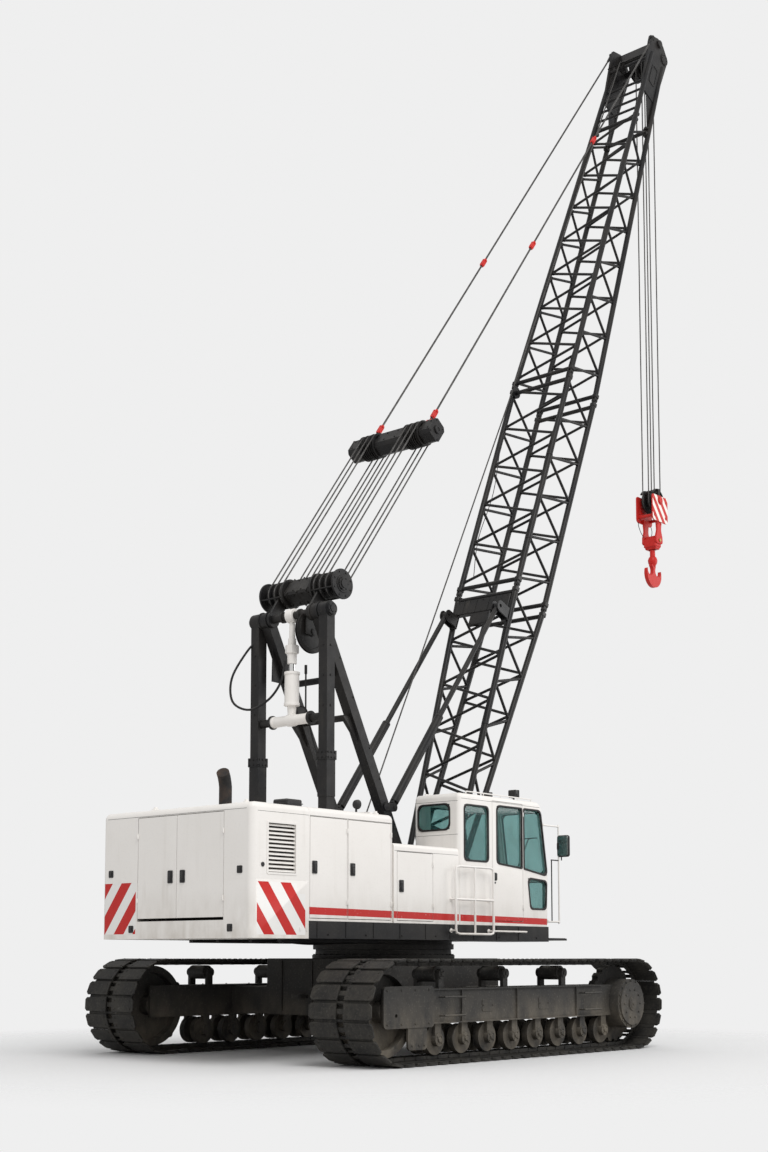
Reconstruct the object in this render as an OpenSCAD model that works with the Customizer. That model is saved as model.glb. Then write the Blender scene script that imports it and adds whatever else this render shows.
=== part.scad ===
// Crawler crane with a lattice boom, parked with its boom raised.
// Millimetres, +Z up, +X to the front, the cab on the right (-Y) side.
// All modules are drawn about the slew axis; placed() moves them to the part's own origin.

/* [Tracks] */
// Length of each track over its shoes
track_len = 6404; // [6200:10:6600]
// Height of each track over its shoes
track_h = 1268; // [1240:2:1300]
// Width of the track shoes
shoe_w = 980; // [860:10:1000]
// Distance from the machine's centre line to the middle of a track
track_y = 2070; // [2050:5:2150]
// Shoes in one track
shoe_count = 66; // [60:1:70]
// Thickness of a shoe's lug
lug_h = 42; // [30:1:50]
// Thickness of the chain that carries the shoes
chain_t = 52; // [40:1:60]
// Gap between neighbouring shoes
shoe_gap = 16; // [8:1:24]
// Width of the guide slot down the middle of the shoes
guide_slot_w = 170; // [120:5:200]

/* [Track frame] */
// Distance from the idler's axle to the rear end of a track frame's main box
side_box_gap = 758; // [730:2:790]
// Height of the main box
side_box_h = 425; // [380:5:440]
// Underside of the main box
side_box_z = 478; // [474:1:500]
// Width of the main box
side_box_w = 430; // [380:5:460]
// Bottom rollers on each side
roller_count = 8; // [6:1:8]
// Tread radius of the bottom rollers
roller_r = 184; // [160:1:186]
// Distance from the idler's axle to the rearmost bottom roller
roller_rear_gap = 956; // [930:2:980]
// Distance from the foremost bottom roller to the sprocket's axle
roller_front_gap = 477; // [460:1:500]
// Tread width of rollers, idler and sprocket
roller_tread_w = 300; // [260:5:320]
// Top rollers on each side
top_roller_count = 3; // [2:1:3]
// Distance from the idler's axle to the rearmost top roller
top_roller_rear_gap = 1018; // [980:2:1060]
// Distance from the foremost top roller to the sprocket's axle
top_roller_front_gap = 1458; // [1400:2:1500]
// Tread radius of the top rollers
top_roller_r = 96; // [80:1:100]
// Width of the bearing blocks beside rollers
bearing_w = 50; // [40:1:60]
// Thickness of the yoke plates that hold the idler and the final drive
yoke_t = 36; // [30:1:40]
// Width of the flanges along the main box, beyond its sides
flange_w = 28; // [20:1:40]
// Thickness of the flanges
flange_t = 18; // [12:1:20]
// Reach of the rear yoke plates behind the idler's axle
rear_yoke_reach = 120; // [80:5:150]
// Distance from the sprocket's axle to the end of the front yoke plates
front_yoke_cut = 60; // [40:5:100]
// Space between the sprocket and the track frame's main box
sprocket_gap = 8; // [6:1:20]
// Half width of the sprocket, and of the groove that clears it in the rollers
sprocket_half_w = 50; // [40:1:60]
// Radius of the idler's hub
idler_hub_r = 130; // [110:5:160]
// Outer face of the final drive's hub cover, from the middle of the track
hub_cover_y = 385; // [360:5:420]
// Radius of the final drive's hub cover
hub_cover_r = 345; // [300:5:380]

/* [Carbody] */
// Half length of the centre box
carbody_half_len = 1150; // [1000:10:1250]
// Half width of the centre box
carbody_half_w = 1150; // [1000:10:1200]
// Underside of the centre box
carbody_z = 520; // [480:5:560]
// Top of the centre box
carbody_top = 1270; // [1240:5:1300]
// Depth of the two cross beams, along the machine
cross_beam_len = 760; // [600:10:900]
// Distance of the towing lugs from the centre line
tow_lug_y = 450; // [350:10:550]
// Height of the towing lugs' holes
tow_lug_z = 760; // [700:10:820]
// Outer radius of a towing lug
tow_lug_r = 85; // [75:1:100]
// Thickness of a towing lug
tow_lug_t = 50; // [40:1:60]
// Distance from the centre box to a towing lug's hole
tow_lug_reach = 110; // [100:1:130]
// Radius of the hole in a towing lug
tow_hole_r = 36; // [30:1:42]
// Radius of the slew ring
slew_ring_r = 1000; // [900:10:1100]

/* [Upper deck] */
// Underside of the deck
deck_z = 1508; // [1500:1:1520]
// Thickness of the deck
deck_h = 215; // [200:5:230]
// Rear end of the upperworks
rear_x = -3918; // [-3950:2:-3880]
// Seam between the rear compartment and the machine house
seam_x = -2950; // [-2980:5:-2900]
// Front end of the deck under the cab
deck_front_x = 2105; // [2090:5:2150]
// Front end of the middle of the deck, under the boom foot
deck_mid_front_x = 1230; // [1200:5:1300]
// Front end of the step plate before the cab
front_step_x = 2570; // [2500:10:2600]
// Half width of the upperworks
body_half_w = 1350; // [1340:2:1360]

/* [Machine house] */
// Top of the high house
house_top = 3107; // [3090:1:3130]
// Front end of the high house
high_house_x = -1361; // [-1380:1:-1340]
// Top of the low side houses
low_house_top = 2752; // [2730:1:2780]
// Half width of the open bay between the low houses
bay_half_w = 760; // [750:5:780]
// Thickness of house walls and doors
wall_t = 40; // [30:1:50]
// Gap round every door
door_gap = 8; // [6:1:10]
// Underside of the door openings above the deck
door_sill = 28; // [20:1:40]
// Radius of a door hinge
knuckle_r = 10; // [8:1:14]
// Length of one half of a door hinge
knuckle_len = 60; // [50:5:90]
// Distance of a hinge from the door's lower or upper edge
hinge_inset = 180; // [150:10:250]
// Edge between the two rear doors
rear_door_split_y = -50; // [-80:5:-20]
// Left edge of the rear door opening
rear_door_left_y = 670; // [640:5:680]
// Right edge of the rear door opening
rear_door_right_y = -880; // [-900:5:-860]
// Top of the weights at the rear corners
corner_weight_top = 2200; // [2150:5:2250]

/* [Cab] */
// Front of the cab at its waist
cab_front_x = 2120; // [2110:5:2150]
// Front of the cab roof
cab_roof_front_x = 1955; // [1920:5:1980]
// Top of the cab at its rear
cab_top = 3520; // [3490:5:3540]
// Inner side of the cab, towards the boom
cab_inner_y = -565; // [-570:1:-560]
// Thickness of the cab's walls
cab_wall = 50; // [40:1:60]
// Rear edge of the cab door
cab_door_rear_x = 750; // [740:2:770]
// Front edge of the cab door
cab_door_front_x = 1480; // [1470:2:1490]
// Thickness of the glass
glass_t = 6; // [5:1:8]

/* [Gantry] */
// Place of the gantry's top shaft, forward of the slew axis
shaft_x = -1870; // [-1880:1:-1860]
// Height of the gantry's top shaft
shaft_z = 5830; // [5800:5:5860]
// Radius of the gantry's top shaft
shaft_r = 55; // [50:1:58]
// Middle of each rear post from the centre line
post_y = 630; // [625:1:640]
// Middle of each front leg from the centre line
leg_y = 470; // [465:1:475]
// Width of posts and legs
post_w = 150; // [140:1:150]
// Foot of the front legs, forward of the slew axis
leg_foot_x = 200; // [190:1:220]
// Middle of the rope sheaves at the gantry head, forward of the slew axis
bail_x = -1620; // [-1630:1:-1610]
// Height of the rope sheaves at the gantry head
bail_z = 6210; // [6200:1:6230]
// Half width of the sheave row at the gantry head
bail_half_w = 700; // [690:1:720]

/* [Boom] */
// Boom foot pin, forward of the slew axis
foot_x = 910; // [900:1:920]
// Height of the boom foot pin
foot_z = 2050; // [2040:1:2060]
// Angle of the boom above level ground
boom_angle = 68; // [66:0.5:70]
// Foot pin to the first boom joint
joint1_s = 5160; // [5000:10:5300]
// Foot pin to the second boom joint
joint2_s = 9250; // [9100:10:9400]
// Foot pin to the start of the boom head
joint3_s = 15210; // [15000:10:15400]
// Foot pin to the boom head's top shaft
head_s = 17100; // [17000:10:17200]
// Radius of a main chord
chord_r = 45; // [40:1:50]
// Radius of a lacing tube
lace_r = 22; // [18:1:26]
// Radius of the lugs that join two boom sections
joint_lug_r = 42; // [38:1:46]

/* [Rigging] */
// Radius of the ropes
rope_r = 11; // [9:1:12]
// Radius at which the boom hoist ropes leave their sheaves
fall_r = 170; // [165:1:175]
// Distance between the gantry sheaves and the spreader, at rest
spreader_dist = 3190; // [3150:10:3250]
// Half width of the spreader
spreader_half_w = 780; // [760:5:800]
// Half depth of the spreader beam
spreader_half_d = 125; // [110:1:130]
// Radius of the pendants
pendant_r = 15; // [12:1:18]
// Radius at which the hook ropes leave their sheaves
hook_fall_r = 200; // [190:1:204]
// Height of the hook block's sheave pin
block_z = 9480; // [9400:10:9560]

/* [Hidden] */

// Distance from the slew axis to the middle of the whole machine, in length
slew_x = -1902;
// Seat between two pieces that rest on each other
seat = 0.3;

// Track outline
track_r = track_h / 2;
straight = track_len - track_h;
belt_r = track_r - lug_h;
inner_r = belt_r - chain_t;
loop_len = 2 * straight + 2 * PI * belt_r;
shoe_pitch = loop_len / shoe_count;
wheel_x = straight / 2;
side_box_rear = wheel_x - side_box_gap;
yoke_inner = side_box_w / 2 - yoke_t;
roller_first_x = roller_rear_gap - wheel_x;
roller_pitch = (2 * wheel_x - roller_rear_gap - roller_front_gap) / (roller_count - 1);
top_roller_first_x = top_roller_rear_gap - wheel_x;
top_roller_pitch = (2 * wheel_x - top_roller_rear_gap - top_roller_front_gap) / (top_roller_count - 1);
rear_plate_t = 30;
rear_plate_r = 60;
rear_plate_z = 440;
rear_plate_top = 940;
guard_z = 175;
guard_len = 420;
step_bar_r = 12;
step_bar_reach = 95;
sprocket_teeth = 22;
tooth_gap_r = 42;
idler_rim_t = 90;
hub_bolts = 16;
roller_core_r = 48;
roller_z = track_r - inner_r + roller_r + seat;
top_roller_z = track_r + inner_r - top_roller_r - seat;

deck_top = deck_z + deck_h;
door_low = deck_top + door_sill;
low_door_front_x = -560;
knuckle_leaf = knuckle_r - door_gap / 2;
engine_rear_x = rear_x + 418;
engine_len = 1350;
engine_w = 1060;
engine_h = 917;
rear_hinge_low = [1950];
rear_hinge_high = [2750];

// Gantry geometry
leg_dx = leg_foot_x - shaft_x;
leg_foot_z = deck_top + 105;
leg_slope = leg_dx / (shaft_z - leg_foot_z);
leg_eye_r = 110;
leg_eye_w = post_w + 4;
leg_pin_r = 40;
leg_bracket_t = 30;
leg_bracket_y = leg_y - post_w / 2 - 5 - leg_bracket_t;
deflector_r = 290;
deflector_w = 40;
deflector_y = 230;
deflector_dx = 120;
deflector_drop = 230;
// Gussets behind each leg: height of the top, of the foot and of the rear corner, its reach, thickness
leg_gussets = [[5620, 5000, 5010, 330, 16], [4500, 3980, 4490, 230, 60]];
tie_z = 4420;
leg_tie_zs = [5000, 4500];
collar_z = 3900;
// Rings of the gantry cylinder, from below: lower end, upper end, radius
cylinder_rings = [
  [0, 190, 60], [188, 230, 107], [228, 610, 98], [608, 650, 107], [648, 760, 42],
  [758, 900, 64], [898, 1010, 92], [1008, 1110, 55], [1108, 1400, 38]
];

function leg_x(z) = shaft_x + (shaft_z - z) * leg_slope;

// Boom geometry: columns are distance from the foot pin and size at that place
foot_y = 430;
foot_eye_w = 90;
foot_eye_r = 130;
foot_pin_r = 60;
foot_bracket_t = 36;
foot_bracket_y = foot_y + foot_eye_w / 2 + 5;
cab_clear_y = foot_bracket_y + foot_bracket_t + 10;
chord_start = 330;
joint_pin_r = 18;
joint_block = 46;
joint_block_far = 130;
joint_reach = joint_lug_r + 8;
aux_s = head_s - 620;
aux_y = 290;
ladder_steps = [250, 480, 710, 940];
cross_r = 34;
head_plate_t = 20;
hook_pin_r = 50;
boom_half_w = [[0, foot_y], [joint1_s, 560], [joint2_s, 560], [joint3_s, 410], [head_s, 400]];
boom_half_d = [[0, 62], [joint1_s, 380], [joint2_s, 380], [joint3_s, 190], [head_s, 190]];
hook_pin_s = 17000;
hook_pin_t = -180;
guide_s = head_s - 500;
guide_t = 270;
guide_r = 90;
guide_y = 120;
guide_shaft_r = 28;

// Boom hoist line from the gantry head to the boom head
pendant_s = head_s - 60;
pendant_t = 300;
pendant_x = foot_x + pendant_s * cos(boom_angle) - pendant_t * sin(boom_angle);
pendant_z = foot_z + pendant_s * sin(boom_angle) + pendant_t * cos(boom_angle);
rig_dx = pendant_x - bail_x;
rig_dz = pendant_z - bail_z;
rig_len = norm([rig_dx, rig_dz]);
rig_angle = atan2(rig_dz, rig_dx);
fall_ys = [310, 420, 530];
bail_link_y = 365;
bail_link_w = 36;
pendant_y = half_w(head_s) + head_plate_t + seat + 22;
pendant_low_y = 520;
pendant_low_s = spreader_dist + 260;
pendant_eye_r = 42;
pendant_len = norm([rig_len - pendant_low_s, pendant_y - pendant_low_y]);
pendant_turn = atan2(pendant_y - pendant_low_y, rig_len - pendant_low_s);
link_len = 190;
// Links in the pendants: distance above the lower eye, and -1 right or 1 left
pendant_links = [[90, -1], [90, 1], [4400, -1], [4400, 1], [7550, -1]];

// Guide pulley of the hoist rope, on the left rear chord
pulley_s = joint2_s - 110;
pulley_t = half_d(joint2_s) + 10;
pulley_r = 90;
pulley_y = 495;
pulley_x = foot_x + pulley_s * cos(boom_angle) - pulley_t * sin(boom_angle);
pulley_z = foot_z + pulley_s * sin(boom_angle) + pulley_t * cos(boom_angle);

// Backstops
backstop_y = 497;
backstop_foot_z = 3330;
backstop_eye_r = 60;
backstop_eye_w = 80;
backstop_pin_r = 26;
fork_gap = 5;
fork_t = 18;
fork_d = 104;
fork_inner = backstop_y - backstop_eye_w / 2 - fork_gap - fork_t;
fork_outer = backstop_y + backstop_eye_w / 2 + fork_gap + fork_t;
backstop_foot = [leg_x(backstop_foot_z) + 165, backstop_foot_z];
backstop_top_s = 4620;
backstop_top_t = 620;
backstop_top = [
  foot_x + backstop_top_s * cos(boom_angle) - backstop_top_t * sin(boom_angle),
  foot_z + backstop_top_s * sin(boom_angle) + backstop_top_t * cos(boom_angle)
];
backstop_dx = backstop_top[0] - backstop_foot[0];
backstop_dz = backstop_top[1] - backstop_foot[1];
backstop_len = norm([backstop_dx, backstop_dz]);
backstop_angle = atan2(backstop_dz, backstop_dx);
backstop_tube_len = 1750;
backstop_rod_r = 38;
backstop_tube_r = 62;

// Hook ropes
hook_x = foot_x + hook_pin_s * cos(boom_angle) - hook_pin_t * sin(boom_angle);
hook_top_z = foot_z + hook_pin_s * sin(boom_angle) + hook_pin_t * cos(boom_angle);
hook_sheave_ys = [-60, 60];
spare_sheave_ys = [-180, 180];
becket_top = 150;
block_plate = [-260, 260, -400, 80];
block_plate_y = [150, 175];
guard_inner_r = 192;
guard_outer_r = 222;
// Crosshead links: half width at heights from the sheave pin
crosshead_z = -730;
crosshead_bottom = -885;
link_shape = [
  [-90, -330], [-60, -541], [-105, -660], [-112, -790], [112, -790], [105, -660], [60, -541], [90, -330]
];
shank_r = 48;
// Hook: centre, outer radius, throat radius and the throats' offset
hook_c = -1334;
hook_r = 240;
throat_r = 98;
throat_x = 128;
throat_z = 66;
shank_half_w = 46;

// Winch drums
hoist_drum_x = -370;
boom_drum_x = -960;
drum_z = 2150;
hoist_rope_r = 180;
hoist_rope_y = 340;

cab_colour = "whitesmoke";
dark = "dimgray";
frame_colour = "darkslategray";
red = "firebrick";

module placed() {
  translate([slew_x, 0, 0]) children();
}

module span(x0, x1, y0, y1, z0, z1) {
  translate([x0, y0, z0]) cube([x1 - x0, y1 - y0, z1 - z0]);
}

module both_sides() {
  children();
  mirror([0, 1, 0]) children();
}

// Round bar between two points
module rod(a, b, r, fn = 24) {
  v = b - a;
  length = norm(v);
  translate(a)
    rotate([0, acos(v[2] / length), atan2(v[1], v[0])])
      cylinder(r = r, h = length, $fn = fn);
}

// Square bar between two points of one vertical plane, w wide and d deep
module square_bar(x0, z0, x1, z1, y, w, d) {
  length = norm([x1 - x0, z1 - z0]);
  translate([x0, y, z0])
    rotate([0, 90 - atan2(z1 - z0, x1 - x0), 0])
      translate([-d / 2, -w / 2, 0]) cube([d, w, length]);
}

// Cylinder lying along Y, from y0 to y1
module across(x, z, r, y0, y1, fn = 48) {
  translate([x, y0, z]) rotate([-90, 0, 0]) cylinder(r = r, h = y1 - y0, $fn = fn);
}

module on_boom() {
  translate([foot_x, 0, foot_z]) rotate([0, -boom_angle, 0]) children();
}

// Local x runs from the gantry head to the boom head, local z points up and back
module on_rigging() {
  translate([bail_x, 0, bail_z]) rotate([0, -rig_angle, 0]) children();
}

module on_backstop() {
  translate([backstop_foot[0], 0, backstop_foot[1]]) rotate([0, -backstop_angle, 0]) children();
}

// Track

function loop_point(d, r) =
  let (turn = PI * belt_r, q = (d + loop_len) % loop_len)
  q < straight ? [-straight / 2 + q, -r] :
  q < straight + turn ?
    let (a = -90 + (q - straight) / belt_r * 180 / PI) [straight / 2 + r * cos(a), r * sin(a)] :
  q < 2 * straight + turn ? [straight / 2 - (q - straight - turn), r] :
    let (a = 90 + (q - 2 * straight - turn) / belt_r * 180 / PI)
    [-straight / 2 + r * cos(a), r * sin(a)];

shoe_outline = [
  for (i = [0 : shoe_count - 1], corner = [0 : 3])
    let (
      d = i * shoe_pitch + (corner < 2 ? shoe_gap / 2 : shoe_pitch - shoe_gap / 2),
      r = (corner == 1 || corner == 2) ? track_r : belt_r
    )
    loop_point(d, r)
];

module stadium(r) {
  for (x = [-wheel_x, wheel_x]) translate([x, 0]) circle(r = r, $fn = 72);
  translate([-wheel_x, -r]) square([2 * wheel_x, 2 * r]);
}

module band(width) {
  translate([0, width / 2, track_r]) rotate([90, 0, 0]) linear_extrude(width) children();
}

module track(y) {
  pad_w = (shoe_w - guide_slot_w) / 2;
  color(frame_colour) placed() translate([0, y, 0]) {
    band(shoe_w) difference() {
      stadium(belt_r);
      stadium(inner_r);
    }
    for (s = [-1, 1])
      translate([0, s * (guide_slot_w + pad_w) / 2, 0])
        band(pad_w) difference() {
          polygon(shoe_outline);
          stadium(belt_r - 10);
        }
  }
}

module track_left() { track(track_y); }
module track_right() { track(-track_y); }

// Plate in the XZ plane with rounded corners, from y0 to y1
module round_plate(x0, x1, z0, z1, r, y0, y1) {
  translate([0, y1, 0]) rotate([90, 0, 0]) linear_extrude(y1 - y0) {
    translate([x0 + r, z0]) square([x1 - x0 - 2 * r, z1 - z0]);
    translate([x0, z0 + r]) square([x1 - x0, z1 - z0 - 2 * r]);
    for (x = [x0 + r, x1 - r], z = [z0 + r, z1 - r]) translate([x, z]) circle(r = r, $fn = 24);
  }
}

// Two bars to step on, that stand off the outer side of a track frame
module frame_steps(x0, x1) {
  y = side_box_w / 2 + step_bar_reach;
  for (z = [side_box_z + 95, side_box_z + side_box_h - 105]) {
    rod([x0, y, z], [x1, y, z], step_bar_r, 12);
    for (x = [x0 + 20, x1 - 20]) rod([x, side_box_w / 2 - 1, z], [x, y + 2, z], step_bar_r - 2, 12);
  }
}

module track_frame(side) {
  x0 = -side_box_rear;
  x1 = wheel_x - inner_r - sprocket_gap;
  half = side_box_w / 2;
  top = side_box_z + side_box_h;
  color(dark) placed() mirror([0, side > 0 ? 0 : 1, 0]) translate([0, track_y, 0]) {
    span(x0, x1, -half, half, side_box_z, top);
    for (z = [side_box_z, top - flange_t])
      span(x0 + 10, x1 - 10, -half - flange_w, half + flange_w, z, z + flange_t);
    for (x = [x0 + 640, 0, x1 - 640])
      span(x - 7, x + 7, half - 1, half + flange_w - 6, side_box_z + 1, top - 1);
    frame_steps(x0 + 190, x0 + 610);
    frame_steps(x1 - 560, x1 - 140);
    for (i = [0 : roller_count - 1], s = [-1, 1])
      translate([roller_first_x + i * roller_pitch, s * (roller_tread_w / 2 + seat + bearing_w / 2), 0]) {
        span(-60, 60, -bearing_w / 2, bearing_w / 2, roller_z - 20, side_box_z + 1);
        across(0, roller_z, 78, -bearing_w / 2 - (s < 0 ? 22 : 0), bearing_w / 2 + (s > 0 ? 22 : 0), 32);
      }
    for (i = [0 : top_roller_count - 1], s = [-1, 1])
      translate([top_roller_first_x + i * top_roller_pitch,
          s * (roller_tread_w / 2 + seat + bearing_w / 2), 0]) {
        span(-50, 50, -bearing_w / 2, bearing_w / 2, top - 1, top_roller_z);
        across(0, top_roller_z, 62, -bearing_w / 2 - (s < 0 ? 18 : 0), bearing_w / 2 + (s > 0 ? 18 : 0), 32);
      }
    for (s = [-1, 1]) translate([0, s * (half - yoke_t / 2), 0]) {
      span(-wheel_x - rear_yoke_reach + 30, x0 + 1, -yoke_t / 2, yoke_t / 2, side_box_z, top);
      difference() {
        span(x1 - 1, wheel_x - front_yoke_cut, -yoke_t / 2, yoke_t / 2, side_box_z, top);
        across(wheel_x, track_r, hub_cover_r + seat, -yoke_t, yoke_t);
      }
    }
    difference() {
      round_plate(-wheel_x - rear_yoke_reach, x0 + 70, rear_plate_z, rear_plate_top, rear_plate_r,
        half - 2, half + rear_plate_t);
      across(-wheel_x + 110, rear_plate_z + 150, 24, half - 20, half + 60, 24);
    }
    round_plate(x0 - guard_len, x0 - 60, guard_z, rear_plate_z + 80, 50, half - 10, half + rear_plate_t - 10);
  }
}

module track_frame_left() { track_frame(1); }
module track_frame_right() { track_frame(-1); }

module track_wheels(side) {
  half = roller_tread_w / 2;
  color(frame_colour) placed() mirror([0, side > 0 ? 0 : 1, 0]) translate([0, track_y, 0]) {
    for (i = [0 : roller_count - 1]) {
      x = roller_first_x + i * roller_pitch;
      across(x, roller_z, roller_core_r, -half, half);
      across(x, roller_z, roller_r, -half, -sprocket_half_w - 10);
      across(x, roller_z, roller_r, sprocket_half_w + 10, half);
    }
    for (i = [0 : top_roller_count - 1])
      across(top_roller_first_x + i * top_roller_pitch, top_roller_z, top_roller_r, -half, half);
    difference() {
      across(-wheel_x, track_r, inner_r - seat, -half, half);
      for (s = [-1, 1])
        across(-wheel_x, track_r, inner_r - idler_rim_t, s > 0 ? 40 : -half - 1, s > 0 ? half + 1 : -40);
    }
    across(-wheel_x, track_r, idler_hub_r, -yoke_inner + seat, yoke_inner - seat);
    difference() {
      across(wheel_x, track_r, inner_r - seat, -sprocket_half_w, sprocket_half_w, 88);
      for (i = [0 : sprocket_teeth - 1])
        let (a = (i + 0.5) * 360 / sprocket_teeth)
          across(wheel_x + (inner_r + 6) * cos(a), track_r + (inner_r + 6) * sin(a), tooth_gap_r,
            -sprocket_half_w - 1, sprocket_half_w + 1, 12);
    }
    across(wheel_x, track_r, hub_cover_r, -yoke_inner + seat, hub_cover_y - 25);
    across(wheel_x, track_r, hub_cover_r - 45, hub_cover_y - 26, hub_cover_y);
    across(wheel_x, track_r, 95, hub_cover_y - 1, hub_cover_y + 14);
    for (i = [0 : hub_bolts - 1])
      let (a = i * 360 / hub_bolts)
        across(wheel_x + (hub_cover_r - 22) * cos(a), track_r + (hub_cover_r - 22) * sin(a), 13,
          hub_cover_y - 26, hub_cover_y - 11, 6);
  }
}

module track_wheels_left() { track_wheels(1); }
module track_wheels_right() { track_wheels(-1); }

module carbody() {
  inner_face = track_y - side_box_w / 2 - seat;
  color(dark) placed() {
    span(-carbody_half_len, carbody_half_len, -carbody_half_w, carbody_half_w,
      carbody_z, carbody_top);
    for (s = [-1, 1])
      translate([s * (carbody_half_len - cross_beam_len / 2), 0, 0])
        span(-cross_beam_len / 2, cross_beam_len / 2, -inner_face, inner_face,
          side_box_z + 20, side_box_z + side_box_h - 20);
  }
}

// Lugs on the front and rear faces of the centre box, each with an upright hole for a shackle pin
module tow_lugs() {
  x = carbody_half_len + seat;
  z0 = tow_lug_z - tow_lug_t / 2;
  color(dark) placed() for (end = [-1, 1], side = [-1, 1])
    difference() {
      union() {
        translate([end > 0 ? x : -x - tow_lug_reach, side * tow_lug_y - tow_lug_r, z0])
          cube([tow_lug_reach, 2 * tow_lug_r, tow_lug_t]);
        translate([end * (x + tow_lug_reach), side * tow_lug_y, z0])
          cylinder(r = tow_lug_r, h = tow_lug_t, $fn = 48);
      }
      translate([end * (x + tow_lug_reach), side * tow_lug_y, z0 - 1])
        cylinder(r = tow_hole_r, h = tow_lug_t + 2, $fn = 48);
    }
}

module slew_ring() {
  color(frame_colour) placed()
    translate([0, 0, carbody_top]) cylinder(r = slew_ring_r, h = deck_z - carbody_top, $fn = 96);
}

// Upper deck and house

module deck() {
  color(frame_colour) placed() {
    span(seam_x, deck_mid_front_x, -body_half_w, body_half_w, deck_z, deck_top);
    span(deck_mid_front_x - 1, deck_front_x, -body_half_w, cab_inner_y, deck_z, deck_top);
    span(deck_front_x - 1, front_step_x, -body_half_w, -body_half_w + 560, deck_z + 20, deck_z + 50);
    both_sides() difference() {
      span(foot_x - 170, foot_x + 170, foot_bracket_y, foot_bracket_y + foot_bracket_t,
        deck_top - 1, foot_z + 150);
      across(foot_x, foot_z, foot_pin_r + seat, foot_bracket_y - 5, cab_clear_y);
    }
    both_sides() difference() {
      span(leg_foot_x - 130, leg_foot_x + 130, leg_bracket_y, leg_bracket_y + leg_bracket_t,
        deck_top - 1, leg_foot_z + 90);
      across(leg_foot_x, leg_foot_z, leg_pin_r + seat, leg_bracket_y - 5, leg_bracket_y + leg_bracket_t + 5);
    }
  }
}

module counterweight() {
  color(cab_colour) placed() {
    span(rear_x, seam_x - seat, -body_half_w, body_half_w, deck_z, deck_top);
    span(rear_x, seam_x - seat, -body_half_w, rear_door_right_y, deck_top - 1, corner_weight_top);
    span(rear_x, seam_x - seat, rear_door_left_y, body_half_w, deck_top - 1, corner_weight_top);
    rear_knuckles(rear_door_left_y, rear_hinge_low, true);
    mirror([0, 1, 0]) rear_knuckles(-rear_door_right_y, rear_hinge_low, true);
  }
}

// Air grille in each side of the rear house: rear, front, lower and upper edge, and its slats
grille = [-3650, -3180, 2280, 2870];
slat_count = 12;
slat_h = 34;
slat_t = 5;

module grille_slats() {
  pitch = (grille[3] - grille[2]) / slat_count;
  for (i = [0 : slat_count - 1])
    translate([0, body_half_w - wall_t / 2, grille[2] + (i + 0.5) * pitch])
      rotate([40, 0, 0]) span(grille[0] - 2, grille[1] + 2, -slat_t / 2, slat_t / 2, -slat_h / 2, slat_h / 2);
}

module rear_house() {
  z0 = corner_weight_top + seat;
  x1 = seam_x - seat;
  color(cab_colour) placed() both_sides() grille_slats();
  color(cab_colour) placed() {
    rear_knuckles(rear_door_left_y, rear_hinge_high, true);
    mirror([0, 1, 0]) rear_knuckles(-rear_door_right_y, rear_hinge_high, true);
  }
  color(cab_colour) placed() difference() {
    span(rear_x, x1, -body_half_w, body_half_w, z0, house_top);
    span(rear_x + wall_t, x1 + 1, -body_half_w + wall_t, body_half_w - wall_t,
      z0 - 1, house_top - wall_t);
    span(rear_x - 1, rear_x + wall_t + 1, rear_door_right_y, rear_door_left_y,
      z0 - 1, house_top - 90);
    both_sides()
      span(grille[0], grille[1], body_half_w - wall_t - 1, body_half_w + 1, grille[2], grille[3]);
  }
}

// Door openings in one side of the high house: rear and front edge
high_doors = [[seam_x + 12, -2255], [-2245, high_house_x - 55]];
high_door_top = house_top - 110;
low_door = [high_house_x + 60, low_door_front_x];
low_door_top = low_house_top - 100;

module high_house() {
  color(cab_colour) placed() both_sides() for (d = high_doors)
    knuckles(d[1], body_half_w, door_low, high_door_top, true);
  color(cab_colour) placed() difference() {
    span(seam_x, high_house_x, -body_half_w, body_half_w, deck_top + seat, house_top);
    span(seam_x - 1, high_house_x - wall_t, -body_half_w + wall_t, body_half_w - wall_t,
      deck_top, house_top - wall_t);
    both_sides() {
      for (d = high_doors)
        span(d[0], d[1], body_half_w - wall_t - 1, body_half_w + 1, door_low, high_door_top);
      span(shaft_x - 50 - post_w / 2, shaft_x + post_w / 2 + 40,
        post_y - post_w / 2 - 20, post_y + post_w / 2 + 20, house_top - wall_t - 1, house_top + 1);
    }
  }
}

module low_house() {
  color(cab_colour) placed() knuckles(low_door[1], body_half_w, door_low, low_door_top, true);
  color(cab_colour) placed() difference() {
    span(high_house_x + seat, -10, bay_half_w, body_half_w, deck_top + seat, low_house_top);
    span(high_house_x + wall_t, -10 - wall_t, bay_half_w + wall_t, body_half_w - wall_t,
      deck_top, low_house_top - wall_t);
    span(low_door[0], low_door[1], body_half_w - wall_t - 1, body_half_w + 1,
      door_low, low_door_top);
  }
}

module low_house_left() { low_house(); }
module low_house_right() { mirror([0, 1, 0]) low_house(); }

module engine() {
  color(dark) placed()
    span(engine_rear_x, engine_rear_x + engine_len, -engine_w / 2 - 30, engine_w / 2 - 30,
      deck_top + seat, deck_top + engine_h);
}

// One knuckle of a door hinge at an opening's edge, on a face at distance y from the middle.
// The frame's knuckle sits under the door's; on_frame picks which one is drawn.
module knuckle(edge, y, z, on_frame) {
  low = on_frame ? z - knuckle_len - seat : z;
  translate([edge - door_gap / 2, y + knuckle_r, low]) cylinder(r = knuckle_r, h = knuckle_len, $fn = 24);
  x = on_frame ? edge : edge - door_gap - knuckle_leaf;
  translate([x, y - 1, low]) cube([knuckle_leaf, knuckle_r + 1, knuckle_len]);
}

module knuckles(edge, y, low, top, on_frame) {
  for (z = [low + hinge_inset, top - hinge_inset]) knuckle(edge, y, z, on_frame);
}

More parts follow.
